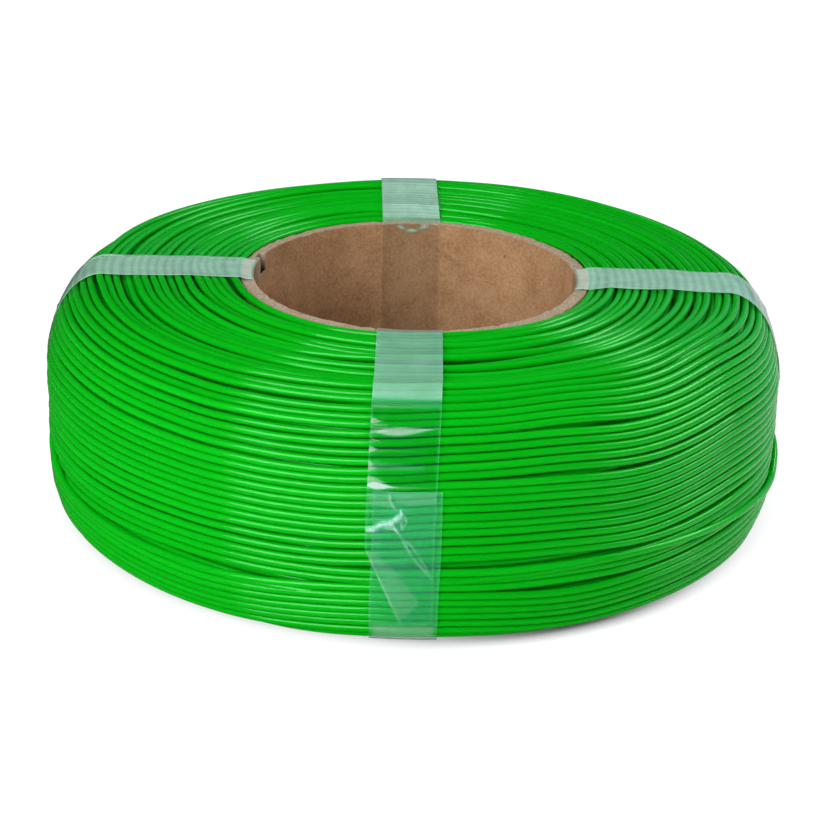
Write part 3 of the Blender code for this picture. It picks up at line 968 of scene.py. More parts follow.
@dataclass
class CardboardCore:
    """The kraft tube inside the winding, with its torn ends and its key notch.

    Attributes:
        sizes: Sizes of the coil.
        tapes: Azimuths of the tape bands, in radians.
        tape_width: Width of a band.
        edge: Radius of the worn rim edges.
        notch_azimuth: Where the notch is, in radians.
        notch_width: Width of the notch.
        notch_depth: Depth of the notch below the rim.
        notch_plies: How far the notch goes into the wall from its inner side.
        columns: Samples round the tube.
        rows: Samples down the inner wall.
        fray: Depth and length, in columns, of each wave of the frayed rim.
        crease: Azimuth of a ply crease's end on the wall, in radians, and its depth below the rim.
        crease_run: How far the crease goes round the wall and down it.
        crease_length: Length of the crease.
        fleck: Azimuth of a fleck on the wall, in radians, and its depth below the rim.
        crease_shade_and_fleck: How dark the crease's painted shade and the fleck are.
        crease_and_fleck_width: Half the width of both.
        glue_edge: Width over which the glue ends along a band.
    """

    sizes: CoilSizes
    tapes: tuple[float, ...]
    tape_width: float
    edge: float = 0.00035
    notch_azimuth: float = math.radians(164.5)
    notch_width: float = 0.0040
    notch_depth: float = 0.0045
    notch_plies: float = 0.0017
    columns: int = 400
    rows: int = 84
    fray: tuple[tuple[float, float], ...] = ((0.00010, 2.0), (0.00012, 17.0))
    crease: tuple[float, float] = (math.radians(85.5), 0.0052)
    crease_run: tuple[float, float] = (0.0085, 0.0053)
    crease_length: float = 0.010
    fleck: tuple[float, float] = (math.radians(96.3), 0.0150)
    crease_shade_and_fleck: tuple[float, float] = (0.45, 0.71)
    crease_and_fleck_width: float = 0.0007
    glue_edge: float = 0.0007

    def build(self, finish: KraftFinish) -> bpy.types.Object:
        """Builds and dresses the tube."""
        board = finish.material("kraft_board")
        core = place_piece("cardboard_core", self.grid(), board, Slot.CARDBOARD, "core_tube")
        core.data.set_sharp_from_angle(angle=math.radians(50.0))
        return core

    def _columns(self) -> np.ndarray:
        """Columns round the tube, set close together at the sides of the notch.

        Returns:
            Rows of azimuth, share of the notch's depth that the rim is sunk there, and the notch's painted
            shade.
        """
        half = self.notch_width / 2 / self.sizes.core_inner
        even = np.linspace(0.0, math.tau, self.columns, endpoint=False)
        plain = even[np.abs(even - self.notch_azimuth) > half + 0.02]
        side = half + np.array([0.016, 2e-5, 1e-5, 0.0])
        inside = np.linspace(-half, half, 7)[1:-1]
        near = np.concatenate([-side, inside, side])
        sunk = (np.abs(near) <= half).astype(float)
        shade = np.interp(np.abs(near), [half, half + 1e-5, half + 2e-5], [1.0, 0.1, 0.0])
        columns = np.concatenate(
            [
                np.column_stack([plain, np.zeros((len(plain), 2))]),
                np.column_stack([self.notch_azimuth + near, sunk, shade]),
            ]
        )
        return columns[np.argsort(columns[:, 0])]

    def _section(self) -> np.ndarray:
        """The wall's section: up the outer wall, over the rim, down the inner wall and under the lower end.

        Returns:
            Rows of radius, share of the way up the wall, height offset on the rounded edges, and paleness
            of the cut.
        """
        inner, outer, edge = self.sizes.core_inner, self.sizes.core_outer, self.edge
        quarter = np.linspace(0.0, math.pi / 2, 5)
        cosine, sine = edge * np.cos(quarter), edge * np.sin(quarter)
        across = np.linspace(outer - edge, inner + edge, 12)[1:-1]
        coarse = np.linspace(0.0, 1.0, 12)[1:-1]
        fine = np.linspace(1.0, 0.0, self.rows)[1:-1]
        paler = np.linspace(0.3, 1.0, 5)
        parts = [
            (outer, coarse, 0.0, 0.0),
            (outer - edge + cosine, 1.0, sine - edge, paler),
            (across, 1.0, 0.0, 1.0),
            (inner + edge - sine, 1.0, cosine - edge, paler[::-1]),
            (inner, fine, 0.0, 0.0),
            (inner + edge - cosine, 0.0, edge - sine, paler),
            (across[::-1], 0.0, 0.0, 1.0),
            (outer - edge + sine, 0.0, edge - cosine, paler[::-1]),
        ]
        return np.concatenate([np.column_stack(np.broadcast_arrays(*part)) for part in parts])

    def grid(self) -> SurfaceGrid:
        """The tube's wall: its section turned about the axis.

        The rim rises a little towards its inner edge and is frayed by noise. In the notch it sinks
        by the notch's depth.

        Returns:
            The closed grid, with its marks for the finish.
        """
        sizes = self.sizes
        azimuth, sunk, shade = self._columns().T
        radius, share, offset, cut = self._section().T
        rng = np.random.default_rng(5)
        count = len(azimuth)
        fray = -np.abs(sum(depth * smooth_noise(count, size, rng) for depth, size in self.fray))
        fray *= ease(azimuth, 0.0, 0.1) * (1.0 - ease(azimuth, math.tau - 0.1, math.tau))
        plies = (radius < sizes.core_inner + self.notch_plies).astype(float)
        inward = (sizes.core_outer - radius) / (sizes.core_outer - sizes.core_inner)
        fray = fray[:, None] + sizes.rim_rise(azimuth)[:, None] * inward
        rim = sizes.core_top + fray - self.notch_depth * sunk[:, None] * plies
        height = sizes.core_bottom + share * (rim - sizes.core_bottom) + offset
        flat = np.broadcast_to(radius, height.shape)
        turned = np.broadcast_to(azimuth[:, None], height.shape)
        points = np.stack([flat * np.cos(turned), flat * np.sin(turned), height], axis=-1)

        # Around the notch the wall's top takes the pale colour of cut plies. This is partly the real torn
        # plies and partly painted light: full on the side of greater azimuth, which lies in shade from the
        # key light, and about half on the other.
        half = self.notch_width / 2 / sizes.core_inner
        low, high = self.notch_azimuth - half - 0.017, self.notch_azimuth + half + 0.10
        lip = ((turned > low) & (turned < high)).astype(float)
        lip *= ease(height, sizes.core_top - self.notch_depth - 0.0004, sizes.core_top - self.notch_depth)
        # Painted shade in the notch: its sunk floor is dark, a little lighter at the inner edge, and the
        # shade fades up its walls.
        deep = np.interp(radius - sizes.core_inner, [0.0, 0.0005, 0.0010, 0.0014], [0.45, 1.0, 1.0, 0.0])
        pale = np.where(turned > self.notch_azimuth, 1.0, 0.55) * lip
        dark = np.where(share == 1.0, shade[:, None] * deep, 0.0)
        marks = {
            "paper": np.stack([turned * sizes.core_inner, height, flat], axis=-1),
            "cut": np.maximum(np.broadcast_to(cut, height.shape), pale),
            "slot": np.maximum(dark, self._crease_shade_and_fleck(turned, height)),
            "wet": self._wetted(turned) * (flat < sizes.core_inner + 1e-6),
        }
        return SurfaceGrid(points, close_rows=True, close_columns=True, marks=marks)

    def _crease_shade_and_fleck(self, azimuth: np.ndarray, height: np.ndarray) -> np.ndarray:
        """Painted shade along a ply crease, and a dark fleck on the wall: soft dark marks by distance from a
        line and a point.
        """
        across, down = self._from_mark(self.crease, azimuth, height)
        run = self.crease_run
        share = np.clip((across * run[0] + down * run[1]) / self.crease_length**2, 0.0, 1.0)
        away = np.hypot(across - run[0] * share, down - run[1] * share)
        beside = np.hypot(*self._from_mark(self.fleck, azimuth, height))
        crease, fleck = (np.exp(-((far / self.crease_and_fleck_width) ** 2)) for far in (away, beside))
        return self.crease_shade_and_fleck[0] * crease + self.crease_shade_and_fleck[1] * fleck

    def _from_mark(
        self, mark: tuple[float, float], azimuth: np.ndarray, height: np.ndarray
    ) -> tuple[np.ndarray, np.ndarray]:
        """How far round the inner wall and down it each point is from a mark."""
        across = (mark[0] - azimuth) * self.sizes.core_inner
        return across, self.sizes.core_top - mark[1] - height

    def _wetted(self, azimuth: np.ndarray) -> np.ndarray:
        """1 where a tape band is glued to the wall, falling to 0 at its edges."""
        away = turn_from(azimuth, self.tapes) * self.sizes.core_inner
        return 1.0 - ease(away, self.tape_width / 2 - self.glue_edge, self.tape_width / 2)


@dataclass(frozen=True)
class Ridge:
    """A fold that stands up from the film along a straight line.

    Attributes:
        start: Where it starts: across the tape, and the place on the skin line.
        end: Where it ends.
        width: Half its width.
        lift: Height that it stands up.
        haze: How hazy it is, which also paints the highlight that the fold catches.
    """

    start: tuple[float, float]
    end: tuple[float, float]
    width: float
    lift: float
    haze: float

    def hump(self, across: np.ndarray, place: np.ndarray) -> np.ndarray:
        """The fold's section at each point: a bell by distance from the line, lower towards its ends."""
        start, end = np.array(self.start), np.array(self.end)
        run = end - start
        share = np.clip(((across - start[0]) * run[0] + (place - start[1]) * run[1]) / (run @ run), 0.0, 1.0)
        away = np.hypot(across - start[0] - share * run[0], place - start[1] - share * run[1])
        return np.exp(-((away / self.width) ** 2)) * (0.35 + 0.65 * np.sin(share * math.pi))


@dataclass(frozen=True)
class Patch:
    """A convex patch of the film that is hazy.

    Attributes:
        corners: Its corners, anticlockwise: across the tape, and the place on the skin line.
        haze: How hazy it is.
        soft: Width of its fading edge.
        chalk: How far its haze has the colour of loose film.
        glint: How far it has that of creases.
        under: Whether it is on the film's inner end, under the outer one.
    """

    corners: tuple[tuple[float, float], ...]
    haze: float
    soft: float = 0.0004
    chalk: float = 0.0
    glint: float = 0.0
    under: bool = False

    def cover(self, across: np.ndarray, place: np.ndarray) -> np.ndarray:
        """1 inside the patch, falling to 0 over its soft edge."""
        inside = np.full(across.shape, np.inf)
        for start, end in zip(self.corners, self.corners[1:] + self.corners[:1]):
            run = np.array(end) - np.array(start)
            side = (run[0] * (place - start[1]) - run[1] * (across - start[0])) / np.hypot(*run)
            inside = np.minimum(inside, side)
        return ease(inside, 0.0, self.soft)


@dataclass(frozen=True)
class PaintedGlint:
    """A painted highlight where a blister of loose film along a turn catches the light: a spindle of haze
    across the tape.

    Attributes:
        start: Its left tip: across the tape, and the place on the skin line.
        end: Its right tip.
        width: Half its width where it is fullest.
        fullest: Share of its length at which it is fullest.
        haze: How hazy it is.
        thin: Half the width of its tails.
        bow: How far the middle of its line lies off the straight one, along the tape.
    """

    start: tuple[float, float]
    end: tuple[float, float]
    width: float
    # haze: How bright its painted highlight is, as haze.
    fullest: float
    haze: float
    thin: float = 0.00005
    bow: float = 0.0

    def cover(self, across: np.ndarray, place: np.ndarray) -> np.ndarray:
        """1 inside the spindle, falling to 0 at its edges.

        At the share t of the way, half its width is thin + width sin^2(pi t^p), with p such that the sine is
        largest at the fullest share, and its line is bowed by 4t(1 - t).
        """
        share = np.clip((across - self.start[0]) / (self.end[0] - self.start[0]), 0.0, 1.0)
        line = self.start[1] + share * (self.end[1] - self.start[1]) + self.bow * 4.0 * share * (1.0 - share)
        power = math.log(0.5) / math.log(self.fullest)
        half = self.thin + self.width * np.sin(math.pi * share**power) ** 2
        ends = ease(share, 0.0, 0.03) * (1.0 - ease(share, 0.94, 1.0))
        return ease(half - np.abs(place - line), -0.00012, 0.00025) * ends


@dataclass
class TapeBand:
    """One band of clear tape: once round the coil's section, through the bore, and over its own start.

    Attributes:
        node: The CAD node that it stands for.
        azimuth: Where it is, in radians.
        sizes: Sizes of the coil.
        strand: The strand that it lies on.
        width: Width of the tape.
        thickness: Thickness of the film.
        clearance: Gap between the film and what it lies on.
        shift: Sideways place of its middle.
        outer_skew: How much further sideways its outer end lies.
        inner_skew: How much further sideways its inner end lies.
        outer_run: Distances from its outer end between which it comes straight.
        inner_run: Distances past one lap between which its inner end goes aside.
        start_place: Place of its outer end on the skin line.
        end_place: Place of its inner end.
        fold: Line along which the left corner of its outer end is folded back, from its lower to its
            upper end: each end across the tape, and its place on the skin line.
        stations: Points across the tape.
        step: Distance between points along the tape.
        foot: Places on the bottom shoulder between which its clearance grows from three tenths.
        taut: Passes that pull it straight over turns that lie deeper.
        sag: How far it sags between turns.
        run_out: Length past the innermost turn over which it comes down.
        gap_haze: Haze where it spans from turn to turn.
        top_haze_and_reflection: Haze on the top face: partly the real haze of loose film, partly a painted
            reflection of the light above.
        top_chalk: How far the top face's haze and painted reflection have the colour of loose film.
        top_edge: Places between which the haze of the top face comes in.
        ripple: Share of that haze that goes midway between turns.
        rim_haze: Haze on the core's rim.
        rim_span: Distances past the innermost turn at which that haze comes in and goes out.
        edge_highlight_haze: Haze along its edges, at its outer end and at its inner end: a painted highlight
            where the cut edges catch the light.
        edge_width: Width of the haze along its edges.
        end_width: Width of the haze at its ends.
        seed: Seed of its wrinkles.
        ridges: Folds of its outer film, or none for a few wrinkles by chance.
        patches: Hazy patches.
        streaks: Painted highlights on blisters of its outer film.
    """

    node: str
    azimuth: float
    sizes: CoilSizes
    strand: WoundStrand
    width: float = TAPE_WIDTH
    thickness: float = 0.00005
    clearance: float = 0.00010
    shift: float = 0.0
    outer_skew: float = 0.0
    inner_skew: float = 0.0
    outer_run: tuple[float, float] = (0.015, 0.065)
    inner_run: tuple[float, float] = (0.052, 0.070)
    start_place: float = 0.0485
    end_place: float = 0.079
    fold: tuple[tuple[float, float], tuple[float, float]] | None = None
    stations: int = 33
    step: float = 0.0005
    foot: tuple[float, float] = (0.041, 0.047)
    taut: int = 8
    sag: float = 0.00004
    run_out: float = 0.0022
    gap_haze: float = 0.002
    top_haze_and_reflection: float = 0.46
    top_chalk: float = 0.62
    top_edge: tuple[float, float] = (0.0977, 0.0992)
    ripple: float = 0.30
    rim_haze: float = 0.50
    rim_span: tuple[float, float, float, float] = (0.0004, 0.0014, 0.0034, 0.0044)
    edge_highlight_haze: tuple[float, float, float] = (0.08, 0.08, 0.12)
    edge_width: float = 0.0004
    end_width: float = 0.0005
    seed: int = 3
    ridges: tuple[Ridge, ...] = ()
    patches: tuple[Patch, ...] = ()
    streaks: tuple[PaintedGlint, ...] = ()

    def build(self, material: bpy.types.Material) -> bpy.types.Object:
        """Builds the band and dresses it."""
        band = place_piece(self.node + "_film", self.grid(), material, Slot.TAPE, self.node)
        wall = band.modifiers.new("Film", "SOLIDIFY")
        wall.thickness = self.thickness
        wall.offset = 1.0
        return band

    def _loop(self) -> np.ndarray:
        """The line that the band lies along, once round the section from the core's lower end.

        Returns:
            Rows of distance, radius, height, the normal's radial and upward parts, and the place: that of
            the skin line, counted on along the core past the line's end.
        """
        sizes = self.sizes
        table = self.strand.line.table()
        skin = table[:, 1:3] + FILAMENT_DIAMETER / 2 * table[:, 3:5]
        bend = np.linspace(0.0, math.pi / 2, 9)
        round_radius = 0.0006
        rim = sizes.core_top + sizes.rim_rise(self.azimuth)
        high = np.column_stack(
            [
                sizes.core_inner + round_radius * (1.0 - np.sin(bend)),
                rim - round_radius * (1.0 - np.cos(bend)),
            ]
        )
        low = np.column_stack([high[::-1, 0], sizes.core_bottom + rim - high[::-1, 1]])
        loop = np.concatenate([skin, high, low])
        edges = np.roll(loop, -1, axis=0) - loop
        steps = np.linalg.norm(edges, axis=1)
        kept = steps > 1e-7
        place = np.concatenate([table[:, 0], np.full(len(high) + len(low), np.nan)])[kept]
        loop = loop[kept]
        edges = np.roll(loop, -1, axis=0) - loop
        steps = np.linalg.norm(edges, axis=1)
        faces = np.column_stack([edges[:, 1], -edges[:, 0]]) / steps[:, None]
        normal = faces + np.roll(faces, 1, axis=0)
        normal /= np.linalg.norm(normal, axis=1, keepdims=True)
        distance = np.concatenate([[0.0], np.cumsum(steps)])
        last = np.flatnonzero(~np.isnan(place))[-1]
        place = np.append(place, np.nan)
        place[last:] = place[last] + distance[last:] - distance[last]
        rows = np.column_stack([loop, normal])
        return np.column_stack([distance, np.concatenate([rows, rows[:1]]), place])

    def grid(self) -> SurfaceGrid:
        """The film as a grid of places along the tape and stations across it.

        At a distance along the loop and w across it, the film lies at the loop's radius and height, lifted
        along the normal by the turns beneath, its clearance, its folds and, at its outer end, the film
        beneath. It is wrapped on the coil: the radius r becomes sqrt(r^2 - w^2) outward and w sideways.

        Returns:
            The open grid, with its marks for the finish.
        """
        loop = self._loop()
        length = loop[-1, 0]
        start, end = np.interp([self.start_place, self.end_place], loop[:, 5], loop[:, 0])
        travel = np.linspace(start, length + end, int((length + end - start) / self.step))[:, None]
        lapped = np.mod(travel, length)
        radius, height, out, up, place = (np.interp(lapped, loop[:, 0], column) for column in loop[:, 1:].T)
        outer = travel < length
        left_edge = np.where(outer, self._fold_at(place), -self.width / 2)
        across = left_edge + (self.width / 2 - left_edge) * np.linspace(0.0, 1.0, self.stations)
        sideways = across + self.shift + self.outer_skew * (1.0 - ease(travel - start, *self.outer_run))
        sideways = sideways + self.inner_skew * ease(travel - length, *self.inner_run)
        draped, groove = self._draped(place[:, 0], sideways)
        clear = self.clearance * (0.3 + 0.7 * ease(place, *self.foot))
        lift = clear + draped + 2.0 * self.thickness * (1.0 - ease(travel, end, end + 0.004))

        past = place - self.strand.line.table()[-1, 0]
        top = ease(place, *self.top_edge) * (1.0 - ease(past, 0.0002, 0.0014))
        on_rim = ease(past, *self.rim_span[:2]) * (1.0 - ease(past, *self.rim_span[2:]))
        # Painted highlights along the film's cut edges and ends, as haze in the chalk colour.
        sides, outer_end, inner_end = self.edge_highlight_haze
        near_edge = np.minimum(across - left_edge, self.width / 2 - across)
        edge_highlights = sides * (1.0 - ease(near_edge, 0.0, self.edge_width)) * (1.0 - 0.8 * ease(past, 0.004, 0.005))
        edge_highlights = np.maximum(edge_highlights, outer_end * (1.0 - ease(travel - start, 0.0, self.end_width)))
        edge_highlights = np.maximum(edge_highlights, inner_end * (1.0 - ease(length + end - travel, 0.0, self.end_width)))
        # On the top face the haze also paints the reflection of the light above, weaker midway between turns
        # by the ripple.
        milky_and_reflected = self.top_haze_and_reflection * top * (1.0 - self.ripple * groove)
        haze = edge_highlights + self.gap_haze * groove * (1.0 - top) + milky_and_reflected + self.rim_haze * on_rim
        chalk = np.maximum(np.maximum(self.top_chalk * top, on_rim), 3.0 * edge_highlights)
        glint = np.zeros(haze.shape)
        # Folds lift the film. Their haze, in the glint colour, is partly real and partly a painted highlight.
        for ridge in self.ridges or self._wrinkles():
            hump = ridge.hump(across, place) * outer
            lift = lift + ridge.lift * hump
            haze = haze + ridge.haze * hump
            glint = np.maximum(glint, 0.9 * hump)
        for patch in self.patches:
            cover = patch.cover(across, place) * (outer != patch.under)
            haze = haze + patch.haze * cover
            chalk = np.maximum(chalk, patch.chalk * cover)
            glint = np.maximum(glint, patch.glint * cover)
        # Painted highlights on the outer film's blisters, as haze in the glint colour.
        for painted_glint in self.streaks:
            cover = painted_glint.cover(across, place) * outer
            haze = haze + painted_glint.haze * cover
            glint = np.maximum(glint, cover)

        reach = radius + lift * out
        rise = height + lift * up
        forward = np.sqrt(reach**2 - sideways**2)
        cosine, sine = math.cos(self.azimuth), math.sin(self.azimuth)
        east, north = forward * cosine - sideways * sine, forward * sine + sideways * cosine
        points = np.stack([east, north, rise], axis=-1)
        film = np.stack(np.broadcast_arrays(across, travel, np.zeros_like(reach)), axis=-1)
        haze, chalk = np.clip(haze, 0.0, 0.9), np.clip(chalk, 0.0, 1.0)
        marks = {"film": film, "haze": haze, "chalk": chalk, "glint": glint}
        return SurfaceGrid(points, flip=True, marks=marks)

    def _fold_at(self, place: np.ndarray) -> np.ndarray:
        """The outer film's left edge at each place: the tape's own edge, or the line of its folded corner."""
        if self.fold is None:
            return np.full(place.shape, -self.width / 2)
        (low_edge, low_place), (high_edge, high_place) = self.fold
        return np.interp(place, [low_place, high_place], [low_edge, high_edge])

    def _wrinkles(self) -> list[Ridge]:
        """A few short wrinkles at places drawn by chance on the side of the coil."""
        rng = np.random.default_rng(self.seed)
        starts = np.column_stack([rng.uniform(-0.0065, 0.0065, 6), rng.uniform(0.046, 0.094, 6)])
        ends = starts + np.column_stack([rng.uniform(-0.004, 0.004, 6), rng.uniform(-0.005, 0.005, 6)])
        return [Ridge(tuple(start), tuple(end), 0.0003, 0.0003, 0.14) for start, end in zip(starts, ends)]

    def _draped(self, place: np.ndarray, sideways: np.ndarray) -> tuple[np.ndarray, np.ndarray]:
        """How the film lies over the turns: taut from turn to turn, with a slight sag between them.

        Args:
            place: Places on the skin line, one for each row.
            sideways: Distances from the band's azimuth, for each row and station.

        Returns:
            The lift for each row and station, fading to 0 on the core, and how far each is from the turns.
        """
        line_end = self.strand.line.table()[-1, 0]
        turns = self.strand.turns
        rows, _ = self.strand.rows_at(np.full(turns, self.azimuth))
        radius, _ = self.strand.line.at(rows)
        stations = np.linspace(sideways.min(), sideways.max(), sideways.shape[1])
        turn_place, turn_lift = self.strand.rows_at(self.azimuth + np.arcsin(stations / radius[:, None]))
        turn_lift[0] = np.maximum(turn_lift[0], turn_lift[1])
        turn_lift[-1] = np.maximum(turn_lift[-1], turn_lift[-2])
        for _ in range(self.taut):
            turn_lift[1:-1] = np.maximum(turn_lift[1:-1], 0.5 * (turn_lift[:-2] + turn_lift[2:]))
        lifts, grooves = [], []
        for places, tops in zip(turn_place.T, turn_lift.T):
            groove = np.sin(math.pi * np.interp(place, places, np.arange(turns))) ** 2
            grooves.append(groove)
            lifts.append(np.interp(place, places, tops) - self.sag * groove)
        on_turns = 1.0 - ease(place, line_end + 0.0006, line_end + self.run_out)[:, None]
        where = (sideways - stations[0]) / (stations[1] - stations[0])
        left = np.clip(where.astype(int), 0, len(stations) - 2)
        right = where - left

        def laid(by_station: list[np.ndarray]) -> np.ndarray:
            """The values at each row's own stations, between those of the even ones."""
            values = np.stack(by_station, axis=1)
            below, above = (np.take_along_axis(values, left + i, axis=1) for i in (0, 1))
            return (below + right * (above - below)) * on_turns

        return laid(lifts), laid(grooves)


@dataclass
class Studio:
    """The white studio: floor, surroundings, softboxes and the camera at the photograph's place.

    Attributes:
        image_side: Side of the square photograph, in pixels.
        focal: Focal length, in pixels.
        principal: Pixel that the optical axis meets.
        distance: From the camera to the middle of the coil.
        elevation: Of the camera, in radians.
        roll: Turn of the camera about its axis, in radians.
        aim_height: Height of the middle of the coil.
        lamp_distance: From the lamps to the middle of the coil.
        contact: How far the shadow under the coil reaches.
        shadow: Colour of the floor in that shadow.
        shadow_side: Azimuth of the side where it is darkest, in radians.
    """

    image_side: float = 823.0
    focal: float = 2398.5
    principal: tuple[float, float] = (412.6, 378.0)
    distance: float = 0.5986
    elevation: float = 0.3765
    roll: float = -0.0226
    aim_height: float = 0.0285
    lamp_distance: float = 0.90
    contact: float = 0.0045
    shadow: Colour = (0.03, 0.035, 0.03, 1.0)
    shadow_side: float = math.radians(296.0)

    def build(self) -> None:
        """Sets up everything round the coil."""
        bpy.context.scene.view_settings.view_transform = "Standard"
        self._camera()
        self._surroundings()
        self._floor()
        self._softbox("key_softbox", -33.6, 31.0, (0.605, 0.72), 9.3)
        self._softbox("right_softbox", 108.0, 41.0, (0.55, 0.32), 2.9)
        self._softbox("right_fill", 95.0, 20.0, (0.50, 0.30), 1.1).visible_glossy = False

    def _camera(self) -> None:
        """Places the camera: its right and up axes are turned by the roll about the line to the coil."""
        data = bpy.data.cameras.new("photo_camera")
        data.sensor_width = 36.0
        data.lens = self.focal / self.image_side * data.sensor_width
        data.shift_x = (self.image_side / 2 - self.principal[0]) / self.image_side
        data.shift_y = (self.principal[1] - self.image_side / 2) / self.image_side
        data.clip_start, data.clip_end = 0.01, 20.0
        camera = bpy.data.objects.new("photo_camera", data)
        bpy.context.scene.collection.objects.link(camera)
        back = Vector((0.0, -math.cos(self.elevation), math.sin(self.elevation)))
        level = Vector((1.0, 0.0, 0.0))
        upright = back.cross(level)
        right = level * math.cos(self.roll) - upright * math.sin(self.roll)
        above = level * math.sin(self.roll) + upright * math.cos(self.roll)
        place = Matrix((right, above, back)).transposed().to_4x4()
        place.translation = Vector((0.0, 0.0, self.aim_height)) + back * self.distance
        camera.matrix_world = place
        bpy.context.scene.camera = camera

    def _surroundings(self) -> None:
        """A white dome behind and above the coil, dim in front; the camera sees plain white."""
        world = bpy.data.worlds.new("white_studio")
        world.use_nodes = True
        tree = world.node_tree
        tree.nodes.clear()
        coordinate = tree.nodes.new("ShaderNodeTexCoord")
        path = tree.nodes.new("ShaderNodeLightPath")
        out = tree.nodes.new("ShaderNodeOutputWorld")

        def dome(
            side: tuple[float, float, float],
            edges: tuple[float, float],
            levels: tuple[float, float],
            colour: Colour,
        ) -> bpy.types.NodeSocket:
            """A background that brightens towards one side, between two edges."""
            toward = tree.nodes.new("ShaderNodeVectorMath")
            toward.operation = "DOT_PRODUCT"
            tree.links.new(coordinate.outputs["Generated"], toward.inputs[0])
            toward.inputs[1].default_value = side
            level = tree.nodes.new("ShaderNodeMapRange")
            for name, value in zip(("From Min", "From Max", "To Min", "To Max"), edges + levels):
                level.inputs[name].default_value = value
            tree.links.new(toward.outputs["Value"], level.inputs["Value"])
            background = tree.nodes.new("ShaderNodeBackground")
            background.inputs["Color"].default_value = colour
            tree.links.new(level.outputs["Result"], background.inputs["Strength"])
            return background.outputs[0]

        def choose(
            ray: str, first: bpy.types.NodeSocket, second: bpy.types.NodeSocket
        ) -> bpy.types.NodeSocket:
            """The second background for rays of this kind, the first for others."""
            mix = tree.nodes.new("ShaderNodeMixShader")
            tree.links.new(path.outputs[ray], mix.inputs["Fac"])
            tree.links.new(first, mix.inputs[1])
            tree.links.new(second, mix.inputs[2])
            return mix.outputs[0]

        soft = dome((0.26, 1.0, 0.07), (0.15, 0.23), (0.12, 0.44), WHITE)
        mirrored = dome((0.80, 0.56, 0.22), (0.62, 0.86), (0.03, 0.44), (0.55, 1.0, 1.15, 1.0))
        white = tree.nodes.new("ShaderNodeBackground")
        white.inputs["Color"].default_value = WHITE
        shown = choose("Is Camera Ray", choose("Is Glossy Ray", soft, mirrored), white.outputs[0])
        tree.links.new(shown, out.inputs["Surface"])
        bpy.context.scene.world = world

    def _floor(self) -> None:
        """A wide white floor that keeps the coil's contact shadow.

        The camera sees it glow nearly white, darker close to the coil on its lee side. Other rays see a plain
        floor: darker inside the bore as painted shade, and where it is mirrored, bright only behind and at
        the right.
        """
        side = np.linspace(-3.0, 3.0, 3)
        points = np.stack([*np.meshgrid(side, side, indexing="ij"), np.zeros((3, 3))], axis=-1)
        sketch = NodeSketch("white_floor")
        path = sketch.node("LightPath")
        place = sketch.node("TexCoord").outputs["Object"]
        far = sketch.node("VectorMath", {"operation": "DOT_PRODUCT"})
        sketch.feed(far.inputs[0], place)
        far.inputs[1].default_value = (2.0, 1.0, 0.0)
        bright = sketch.ramp(far.outputs["Value"], -0.04, 0.12, 0.0, 1.0)
        mirrored = sketch.blend(bright, (0.10, 0.10, 0.10, 1.0), (0.75, 0.75, 0.75, 1.0))
        from_axis = sketch.node("VectorMath", {"operation": "LENGTH"})
        sketch.feed(from_axis.inputs[0], place)
        # Painted shade: the floor is darker inside the bore, where the core shades it.
        open_floor = sketch.ramp(from_axis.outputs["Value"], 0.040, 0.043, 0.25, 0.80)
        bounce = sketch.blend(path.outputs["Is Glossy Ray"], open_floor, mirrored)
        plain = sketch.node("BsdfDiffuse", None, Color=bounce)
        contact = sketch.node("AmbientOcclusion", {"samples": 8}, Distance=self.contact).outputs["AO"]
        outward = sketch.node("VectorMath", {"operation": "NORMALIZE"})
        sketch.feed(outward.inputs[0], place)
        lee = sketch.node("VectorMath", {"operation": "DOT_PRODUCT"})
        sketch.feed(lee.inputs[0], outward.outputs["Vector"])
        lee.inputs[1].default_value = (math.cos(self.shadow_side), math.sin(self.shadow_side), 0.0)
        facing = sketch.math("POWER", sketch.math("MAXIMUM", lee.outputs["Value"]), 12.0)
        lee_side = sketch.ramp(facing, 0.0, 1.0, 0.20, 1.0)
        depth = sketch.math("POWER", sketch.ramp(contact, 0.10, 1.0, 1.0, 0.0), 1.5)
        light = sketch.blend(sketch.math("MULTIPLY", depth, lee_side), (0.97, 0.97, 0.98, 1.0), self.shadow)
        shown = sketch.node("BsdfDiffuse", None, Color=sketch.scaled(light, (0.25, 0.25, 0.25)))
        glow = sketch.node("Emission", None, Color=light, Strength=0.90)
        both = sketch.node("AddShader")
        sketch.feed(both.inputs[0], shown.outputs[0])
        sketch.feed(both.inputs[1], glow.outputs[0])
        mix = sketch.node("MixShader", None, Fac=path.outputs["Is Camera Ray"])
        sketch.feed(mix.inputs[1], plain.outputs[0])
        sketch.feed(mix.inputs[2], both.outputs[0])
        floor = bpy.data.objects.new("floor", SurfaceGrid(points).mesh("floor"))
        floor.data.materials.append(sketch.surface(mix.outputs[0]))
        bpy.context.scene.collection.objects.link(floor)

    def _softbox(
        self, name: str, azimuth: float, elevation: float, size: tuple[float, float], power: float
    ) -> bpy.types.Object:
        """An upright softbox, turned to the coil.

        Args:
            name: Its name.
            azimuth: Degrees to the right of the camera.
            elevation: Degrees above the floor.
            size: Width and height.
            power: In watts.

        Returns:
            The lamp.
        """
        data = bpy.data.lights.new(name, "AREA")
        data.shape = "RECTANGLE"
        data.size, data.size_y = size
        data.energy = power
        lamp = bpy.data.objects.new(name, data)
        bpy.context.scene.collection.objects.link(lamp)
        turn, tilt = math.radians(azimuth), math.radians(elevation)
        back = Vector((math.sin(turn) * math.cos(tilt), -math.cos(turn) * math.cos(tilt), math.sin(tilt)))
        lamp.location = Vector((0.0, 0.0, self.aim_height)) + back * self.lamp_distance
        lamp.rotation_euler = back.to_track_quat("Z", "Y").to_euler()
        lamp.visible_camera = False
        return lamp


